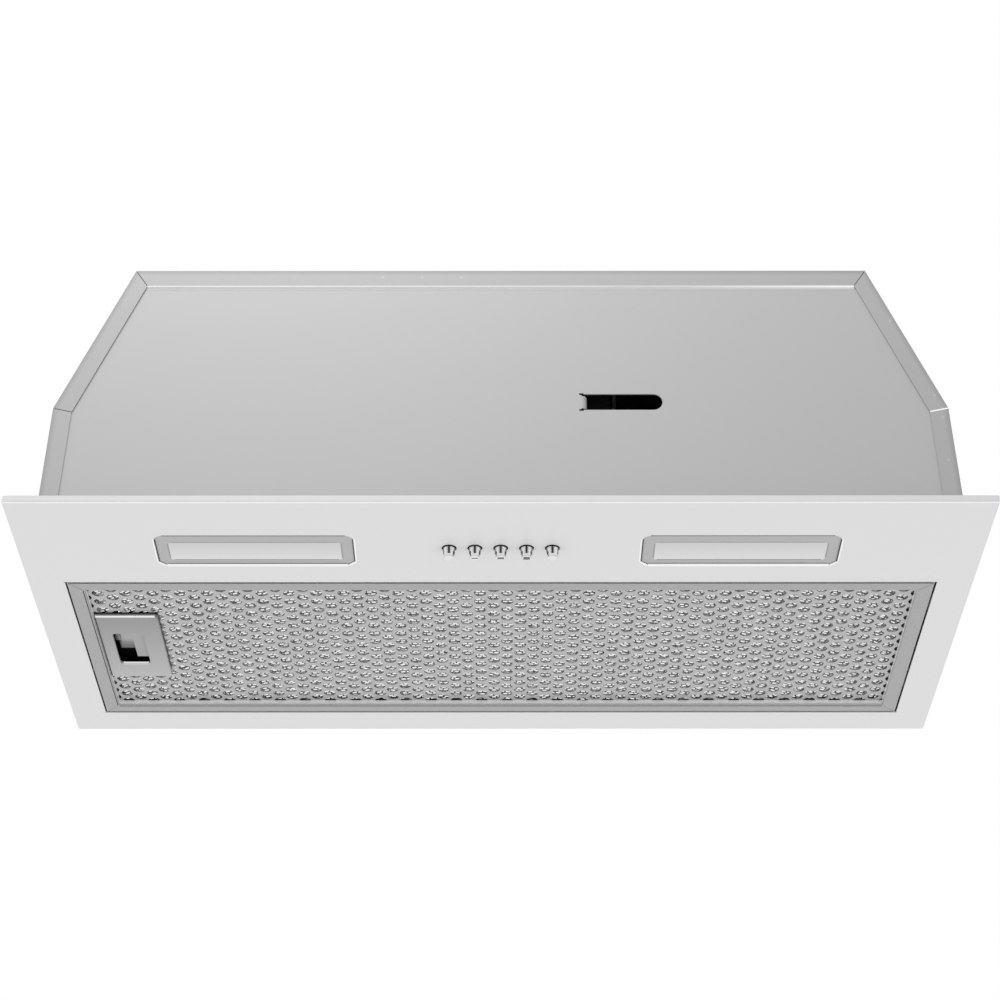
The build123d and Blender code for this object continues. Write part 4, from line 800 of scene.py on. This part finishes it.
# %% [markdown]
# ## Edges and seams
# Sheet metal shows how it was made at its edges. A painted highlight runs along the lower edge of the
# top flange, above a thin strip of painted light that keeps the corner under it from looking dark, and
# another painted highlight runs along the seam on the right shoulder. All of these are only hundredths
# of a millimetre high, so they are thin bars laid on the solids. One function makes every bar, puts it
# on its body and gives it its finish.

# %% Bars
FORWARD, DOWN, RIGHT, LEFT = Vector((0, -1, 0)), Vector((0, 0, -1)), Vector((1, 0, 0)), Vector((-1, 0, 0))
film_high, line_high = 0.02, 0.03

# Painted highlight: a thin line that is almost white
painted_highlight = finish("painted_highlight_edge", "#F6F6F6", 0.35, metallic=0.2, grain_mm=0.6, stretch=(0.1, 1, 1),
                    tint=0.02, bump_mm=0.004)
# Hairlines and gaps: matt greys, the mitre's dark joint and painted shade where no light gets into the gaps
seam_grey = finish("mitre_hairline", "#7A7A7A", 0.6, grain_mm=0.5, tint=0.05, bump_mm=0.004)
gap_shade = finish("shaded_gap", "#3A3A3A", 0.6, grain_mm=0.5, tint=0.05, bump_mm=0.004)


def bars(name, runs, width, height, out, material, body):
    """Thin bars from start to end in millimetres, standing on a surface by their height along out."""
    box_faces = ((0, 1, 2, 3), (7, 6, 5, 4), (0, 4, 5, 1), (1, 5, 6, 2), (2, 6, 7, 3), (3, 7, 4, 0))
    verts, faces = [], []
    for start, end in runs:
        a, b = Vector(start), Vector(end)
        side = out.cross(b - a).normalized() * width / 2
        corners = [a - side, b - side, b + side, a + side]
        faces += [tuple(len(verts) + i for i in face) for face in box_faces]
        verts += [tuple(c) for c in corners] + [tuple(c + out * height) for c in corners]
    made = mesh_object(name, verts, faces, material)
    face_outwards(made)
    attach(made, body)
    print(name, len(runs), "bars")


print("finishes of lines:", [m.name for m in (painted_highlight, seam_grey, gap_shade)])

# %% Casing lines
flange_width, seam_highlight_width, seam_highlight_high = 10.3, 0.8, 0.06
front_y, plate_y = wrap_low.y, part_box("front_plate")[0].y / MM
edge_x, edge_y, edge_z = 198.2, (front_y + plate_y) / 2, wrap_high.z - flange_width
edge_drop, edge_proud = 0.5, 0.1
bright_from, bright_to = 100, 190
edge_width = abs(plate_y - front_y) + edge_proud
seam_highlight_inner, seam_highlight_outer = (233.6, front_y, 62.2), (243.4, front_y, 64.4)
painted_light_high, painted_light_top, painted_light_blur = 1.9, 0.3, 0.3
painted_light_z = edge_z - painted_light_top - painted_light_high / 2

# Painted highlight on the flange's lower edge: paler than its coat, and brightest at its right end
flange_highlight = finish("painted_highlight_flange", "#D8D8D8", 0.45, metallic=0.1, grain_mm=0.6, stretch=(0.1, 1, 1),
                      tint=0.02, bump_mm=0.004, fade=("X", bright_from, bright_to, "#FFFFFF"))
# Painted light: a pale strip that keeps the corner under the flange from looking dark in its shadow
painted_light_strip = finish("painted_light_under_flange", "#B0B0B0", 0.55, grain_mm=0.6, tint=0.02, bump_mm=0.004,
                fade=("Z", painted_light_z - painted_light_high / 2, painted_light_z + painted_light_high / 2 - painted_light_blur, "#F8F8F8"))
edge_run = [((-edge_x, edge_y, edge_z), (edge_x, edge_y, edge_z))]
painted_light_run = [((-edge_x, plate_y, painted_light_z), (edge_x, plate_y, painted_light_z))]
bars("sheared_flange_edge", edge_run, edge_width, edge_drop, DOWN, flange_highlight, "hood")
bars("flange_sealer", painted_light_run, painted_light_high, film_high, FORWARD, painted_light_strip, "hood")
# Painted highlight along the seam on the right shoulder
seam_highlight_run = [(seam_highlight_inner, seam_highlight_outer)]
bars("shoulder_bead", seam_highlight_run, seam_highlight_width, seam_highlight_high, FORWARD, painted_highlight, "hood")

# %% [markdown]
# ## Rails of the filter
# The filter's rails are bent from strip. They meet in mitres, which show as hairlines, and each rail
# ends in a hem that turns up to hold the skin. A painted highlight lies on the hem's wall, and painted
# shade lies in the fold beside it and on the outer bends next to the panel.

# %% Filter mitres
frame_low, frame_high = (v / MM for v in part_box("filter_frame"))
rail, bend = 9.1, 1.0
mitre_width = 0.3
mitres = []
for x, sx in ((frame_low.x, 1), (frame_high.x, -1)):
    for y, sy in ((frame_low.y, 1), (frame_high.y, -1)):
        outer = (x + sx * bend, y + sy * bend, frame_low.z)
        inner = (x + sx * (rail - bend), y + sy * (rail - bend), frame_low.z)
        mitres.append((outer, inner))
bars("filter_mitres", mitres, mitre_width, line_high, DOWN, seam_grey, "filter")

# %% Hems of the filter frame
skin_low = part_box("filter_skin_lower")[0] / MM
hem_x, hem_front, hem_rear = frame_high.x - rail, frame_low.y + rail, frame_high.y - rail
hem_z = (frame_low.z + bend + skin_low.z) / 2
hem_play, hem_proud = 0.2, 0.04
hem_height = skin_low.z - frame_low.z - bend - hem_play
rear_hem = [((-hem_x, hem_rear, hem_z), (hem_x, hem_rear, hem_z))]
# Painted highlight on the walls of the hems
bars("rear_hem", rear_hem, hem_height, hem_proud, FORWARD, painted_highlight, "filter")
for side, x, out in (("left", -hem_x, RIGHT), ("right", hem_x, LEFT)):
    run = [((x, hem_front, hem_z), (x, hem_rear, hem_z))]
    bars(f"{side}_hem", run, hem_height, hem_proud, out, painted_highlight, "filter")
rear_fold_width, left_fold_width = 0.7, 0.6
fold_y, fold_x = hem_rear + bend, hem_x + bend
rear_fold = [((-hem_x, fold_y, frame_low.z), (hem_x, fold_y, frame_low.z))]
left_fold = [((-fold_x, hem_front, frame_low.z), (-fold_x, hem_rear, frame_low.z))]
# Painted shade in the folds beside the hems
bars("rear_fold", rear_fold, rear_fold_width, line_high, DOWN, gap_shade, "filter")
bars("left_fold", left_fold, left_fold_width, line_high, DOWN, gap_shade, "filter")

# %% Shaded outer bends of the filter frame
outer_width, outer_inset = 0.7, 0.4
# Outer bends: painted shade, a soft dark line between the rails and the panel
bend_shade = finish("shaded_outer_bend", "#4C4C4C", 0.6, grain_mm=0.5, tint=0.05, bump_mm=0.004)
outer_bends = [((frame_low.x + bend, y, frame_low.z), (frame_high.x - bend, y, frame_low.z))
               for y in (frame_low.y + outer_inset, frame_high.y - outer_inset)]
bars("outer_bends", outer_bends, outer_width, line_high, DOWN, bend_shade, "filter")

# %% Glints where the skin meets the rear hem
glint_length, glint_width, glint_high = 7.4, 0.7, 0.05
glint_y, glint_z = hem_rear - glint_high, skin_low.z - sheet_gauge
columns = [lattice_x + (i - (hole_columns - 1) / 2) * column_pitch for i in range(0, hole_columns, 2)]
glints = [((x - glint_length / 2, glint_y, glint_z), (x + glint_length / 2, glint_y, glint_z))
          for x in columns if abs(x) < hem_x - glint_length]
bars("skin_edge_glints", glints, glint_width, glint_high, FORWARD, painted_highlight, "filter")

# %% [markdown]
# ## Edges of the latch
# The latch plate is moulded, so its edges are rounded; painted highlights stand for the light they
# catch along its front and along the rear of the finger window. Its left side lies against the hem,
# under a painted shade. A strip of painted shade, black in the finger well and grey at the tab, stands
# for the flank of the tab, and rides on the slide.

# %% Rounded edges and the tab's flank
catch_low, catch_high = plate_low / MM, plate_high / MM
# Painted highlights on the rounded front edge and the window's rear rim, and painted shade along the left
# side
chamfer = Vector((0, -1, -1)).normalized()
front_width, front_high = 1.2, 0.05
front_left, front_right = catch_low.x + 0.6, catch_high.x - 1.2
chamfer_y, chamfer_z = catch_low.y - 0.35, catch_low.z - 0.02
front_edge = [((front_left, chamfer_y, chamfer_z), (front_right, chamfer_y, chamfer_z))]
bars("latch_front_edge", front_edge, front_width, front_high, chamfer, painted_highlight, "filter")
window_left, window_right, window_rear = -224.8, -206.9, 51.9
rim_width, rim_high = 1.5, 0.05
rim_left, rim_right = window_left + 1.6, window_right - 1.2
rim_y, rim_z = window_rear - rim_high, catch_low.z + 0.35
window_rim = [((rim_left, rim_y, rim_z), (rim_right, rim_y, rim_z))]
bars("latch_window_rim", window_rim, rim_width, rim_high, chamfer, painted_highlight, "filter")
side_x, side_width, side_round = catch_low.x + 0.4, 0.7, 1.5
side_front, side_rear = catch_low.y + side_round, catch_high.y - side_round
side_line = [((side_x, side_front, catch_low.z), (side_x, side_rear, catch_low.z))]
bars("latch_side_shade", side_line, side_width, line_high, DOWN, gap_shade, "filter")
slide_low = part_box("latch_slide")[0] / MM
pad_front, pad_rear = 13.8, 25.6
flank_left, flank_dark, flank_high = window_left + 0.5, 0.4, 0.1
flank_x, flank_z = (flank_left + tab_left) / 2, slide_low.z + 0.5
# Painted shade for the tab's flank: nearly black in the finger well, and grey where it meets the tab
tab_flank = finish("painted_shade_flank_of_tab", "#060606", 0.6, grain_mm=0.5, tint=0.02, bump_mm=0.004,
                   fade=("X", flank_left + flank_dark, tab_left, "#8A8A8A"))
flank_run = [((flank_x, pad_front, flank_z), (flank_x, pad_rear, flank_z))]
bars("tab_flank", flank_run, tab_left - flank_left, flank_high, DOWN, tab_flank, "latch_slide")
print("slide starts at", [round(v, 2) for v in slide_low])

# %% [markdown]
# ## Edges of the panel
# A painted highlight, a bright line, runs along the panel's front bend. Two narrow lips close up the
# sides of the filter's opening.

# %% Front bend and opening
face_z = panel_low.z
bend_inset, bend_end, bend_width = 0.6, 0.6, 1.2
bend_y = panel_low.y + bend_inset
filter_gap, panel_gauge = 1.15, 0.8
# Painted highlight on the enamel's bends: a soft white line
lip_highlight = finish("painted_highlight_enamel_lip", "#FCFCFC", 0.3, grain_mm=1.6, tint=0.004, bump_mm=0.004)
front_bend = [((panel_low.x + bend_end, bend_y, face_z), (panel_high.x - bend_end, bend_y, face_z))]
bars("panel_front_bend", front_bend, bend_width, line_high, DOWN, lip_highlight, "hood")
for side, sign, width in (("left", -1, 0.5), ("right", 1, 0.3)):
    x = sign * (frame_high.x + filter_gap - width / 2)
    edge = [((x, frame_low.y, face_z + panel_gauge), (x, frame_high.y, face_z + panel_gauge))]
    bars(f"opening_edge_{side}", edge, width, panel_gauge, DOWN, panel_enamel, "hood")

# %% [markdown]
# ## Edges of the lights
# Each light sits in an opening of the panel. A painted highlight lies on the rear lip of the opening,
# where it faces the room, and painted shade on its front and its two ends, inside a narrow rim of
# painted highlight. The bezel steps down to its lens, and a painted shade lies all round the lens.

# %% Lips, gaps and steps of the lights
light_length, light_depth, light_y, light_corner = 107.0, 32.3, -87.8, 4.0
lens_length, lens_depth, lens_y, lens_corner = 94.0, 19.1, -86.5, 2.0
lip_width, lip_lap = 2.8, 1.1
end_width, end_out = 0.9, 0.8
turn_width, turn_high, turn_out, turn_back = 1.6, 0.025, 0.5, 0.7
gap_width, step_width = 0.7, 0.8
# Steps of the bezel: painted shade, a grey line lighter than a gap
step_shade = finish("shaded_step", "#9A9A9A", 0.5, grain_mm=0.5, tint=0.02, bump_mm=0.004)


def frame_runs(x, y, z, half_x, half_y, corner):
    """Four sides of a flat rectangle with cut corners: front, rear, left and right."""
    return [((x - half_x + corner, y - half_y, z), (x + half_x - corner, y - half_y, z)),
            ((x - half_x + corner, y + half_y, z), (x + half_x - corner, y + half_y, z)),
            ((x - half_x, y - half_y + corner, z), (x - half_x, y + half_y - corner, z)),
            ((x + half_x, y - half_y + corner, z), (x + half_x, y + half_y - corner, z))]


def moved(run, x, y):
    """A run moved by x and y."""
    return tuple((px + x, py + y, pz) for px, py, pz in run)


for side in ("left", "right"):
    low, high = (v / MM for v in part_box(f"light_lens_{side}"))
    light_x = (low.x + high.x) / 2
    front, rear, left, right = frame_runs(light_x, light_y, face_z, light_length / 2, light_depth / 2,
                                          light_corner)
    steps = frame_runs(light_x, lens_y, low.z, lens_length / 2, lens_depth / 2, lens_corner)
    lip = [moved(rear, 0, lip_width / 2 - lip_lap)]
    ends = [moved(left, -end_out, 0), moved(right, end_out, 0)]
    turns = [moved((rear[0], left[1]), -turn_out, turn_back), moved((right[1], rear[1]), turn_out, turn_back)]
    # Painted highlights on the lip, turns and ends; painted shade in the gaps and steps
    for part, runs, width, high, material, slot in (
            ("lip", lip, lip_width, line_high, lip_highlight, "panel_paint"),
            ("turn", turns, turn_width, turn_high, lip_highlight, "panel_paint"),
            ("end", ends, end_width, line_high, lip_highlight, "panel_paint"),
            ("gap", [front, left, right], gap_width, film_high, gap_shade, "bezel_grey"),
            ("step", steps, step_width, film_high, step_shade, "bezel_grey")):
        bars(f"light_{part}_{side}", runs, width, high, DOWN, material, "hood")

# %% [markdown]
# ## Marks on the buttons
# The three speed buttons carry one, two and three short bars on their tips, printed and then
# lacquered. Each row of bars rides on its own button, so that it goes in with it.

# %% Speed bars
bar_length, bar_pitch, bar_width = 3.5, 1.05, 0.8
# Printing ink: a flat, nearly black mark on the mirror
mark_ink = finish("dark_printed_mark", "#1E1E1E", 0.5, grain_mm=0.3, tint=0.05, bump_mm=0.002)
for count, name in enumerate(("speed_low", "speed_mid", "speed_high"), start=1):
    low, high = (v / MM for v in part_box(f"button_{name}"))
    x, y = (low.x + high.x) / 2, (low.y + high.y) / 2
    rows = [y + (i - (count - 1) / 2) * bar_pitch for i in range(count)]
    marks = [((x - bar_length / 2, row, low.z), (x + bar_length / 2, row, low.z)) for row in rows]
    bars(f"mark_{name}", marks, bar_width, film_high, DOWN, mark_ink, f"button_{name}")

# %% [markdown]
# ## Spot welds
# Spot welds hold the flanges to the front plate. Each leaves a pale dot under the coat. A small dome
# is set on listed points, since welds on a real hood aren't evenly spaced.

# %% Weld dots
weld_radius, weld_height, weld_sides = 0.9, 0.08, 12
weld_places = [(-66, 151.4), (-44, 151.4), (-22, 151.4), (216.4, 121.7), (236.9, 72.7), (240.2, 58.5),
               (240.8, 31.5)]
# Coat over a weld: only a shade paler than the flange
weld_coat = finish("coat_over_weld", "#ADADAD", 0.5, metallic=0.1, grain_mm=0.5, tint=0.03, bump_mm=0.006)
angles = [2 * math.pi * i / weld_sides for i in range(weld_sides)]
foot = [(weld_radius * math.cos(angle), 0, weld_radius * math.sin(angle)) for angle in angles]
dome_faces = [(i, (i + 1) % weld_sides, weld_sides) for i in range(weld_sides)]
dome_faces.append(tuple(reversed(range(weld_sides))))
dome = mesh_object("weld_dome", foot + [(0, -weld_height, 0)], dome_faces, weld_coat)
spots = mesh_object("weld_spots", [(x, front_y, z) for x, z in weld_places], [])

dot_tree, given = new_tree("weld_dots", {"Spots": "Object", "Dome": "Object", "Material": "Material"}, "Dots")
where = add_node(dot_tree, "GeometryNodeObjectInfo", {"Object": given["Spots"]}).outputs["Geometry"]
shape = add_node(dot_tree, "GeometryNodeObjectInfo", {"Object": given["Dome"]}).outputs["Geometry"]
laid = add_node(dot_tree, "GeometryNodeInstanceOnPoints", {"Points": where, "Instance": shape})
real = add_node(dot_tree, "GeometryNodeRealizeInstances", {"Geometry": laid})
coated = add_node(dot_tree, "GeometryNodeSetMaterial", {"Geometry": real, "Material": given["Material"]})
add_node(dot_tree, "NodeGroupOutput", {"Dots": coated})
welds = run_tree(dot_tree, "spot_welds", {"Spots": spots, "Dome": dome, "Material": weld_coat})
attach(welds, "hood")
bpy.data.objects.remove(dome)
bpy.data.objects.remove(spots)
print("welds:", len(weld_places))

# %% [markdown]
# ## Stage, light and camera
# The hood hangs in a bright room over a pale floor that glows like a light table, so the face panel
# is lit evenly from below. The camera and mirrors see the floor and the room as plain white. A soft
# lamp at the upper left gives the casing its slow fade to the right and towards the panel, and a
# painted shade near the panel adds to the fade there.

# %% Floor and surround
floor_z, floor_half = -1000, 60000
table_glow, shown_glow = 0.9, 0.5
sky_light, sky_shown = 0.56, 1.0
floor = mesh_object("floor", [(-floor_half, -floor_half, floor_z), (floor_half, -floor_half, floor_z),
                              (floor_half, floor_half, floor_z), (-floor_half, floor_half, floor_z)],
                    [(0, 1, 2, 3)])


def shown_ray(tree):
    """One for rays that show the background: from the camera, in a mirror, or through glass."""
    rays = add_node(tree, "ShaderNodeLightPath").outputs
    shown = rays["Is Camera Ray"]
    for other in ("Is Glossy Ray", "Is Transmission Ray"):
        shown = add_node(tree, MATH, {0: shown, 1: rays[other]}, operation="MAXIMUM")
    return shown


# Floor: plain white to the eye, and a light table to the hood above it
pale = bpy.data.materials.new("pale_lit_floor")
pale.use_nodes = True
tree = pale.node_tree
tree.nodes.clear()
table = add_node(tree, "ShaderNodeEmission", {"Strength": table_glow})
own_light = add_node(tree, "ShaderNodeEmission", {"Strength": shown_glow})
paint = add_node(tree, "ShaderNodeBsdfDiffuse", {"Color": linear("#EAEAEA")})
shadowed = add_node(tree, "ShaderNodeAddShader", {0: own_light, 1: paint})
floor_mix = add_node(tree, "ShaderNodeMixShader", {0: shown_ray(tree), 1: table, 2: shadowed})
add_node(tree, "ShaderNodeOutputMaterial", {"Surface": floor_mix})
floor.data.materials.append(pale)

world = bpy.data.worlds.new("white_surround")
bpy.context.scene.world = world
world.use_nodes = True
tree = world.node_tree
tree.nodes.clear()
strength = add_node(tree, RANGE, {"Value": shown_ray(tree), "To Min": sky_light, "To Max": sky_shown})
sky = add_node(tree, "ShaderNodeBackground", {"Strength": strength, "Color": (1, 1, 1, 1)})
add_node(tree, "ShaderNodeOutputWorld", {"Surface": sky})

print("floor at", floor_z, "mm")

# %% Lamp
lamp_place, lamp_aim = Vector((-0.22, -0.6, 0.88)), Vector((0.0, -0.12, 0.08))
lamp = bpy.data.lights.new("left_light", "AREA")
lamp.shape = "SQUARE"
lamp.size = 0.5
lamp.energy = 8.2
left_light = bpy.data.objects.new("left_light", lamp)
left_light.location = lamp_place
left_light.rotation_euler = (lamp_aim - lamp_place).to_track_quat("-Z", "Y").to_euler()
left_light.visible_camera = False
bpy.context.scene.collection.objects.link(left_light)
print("lamp", round((lamp_aim - lamp_place).length, 2), "m from the casing")

# %% Camera
camera = bpy.data.cameras.new("below_front")
camera.lens = 90.0
camera.sensor_width = 36.0
viewer = bpy.data.objects.new("below_front", camera)
viewer.location = (0.0004, -1.2734, -0.6659)
viewer.rotation_euler = (math.radians(120.33), 0, math.radians(0.038))
bpy.context.scene.collection.objects.link(viewer)
bpy.context.scene.camera = viewer
bpy.context.scene.view_settings.view_transform = "Standard"
print("camera", round(viewer.location.length, 2), "m from the middle of the panel")
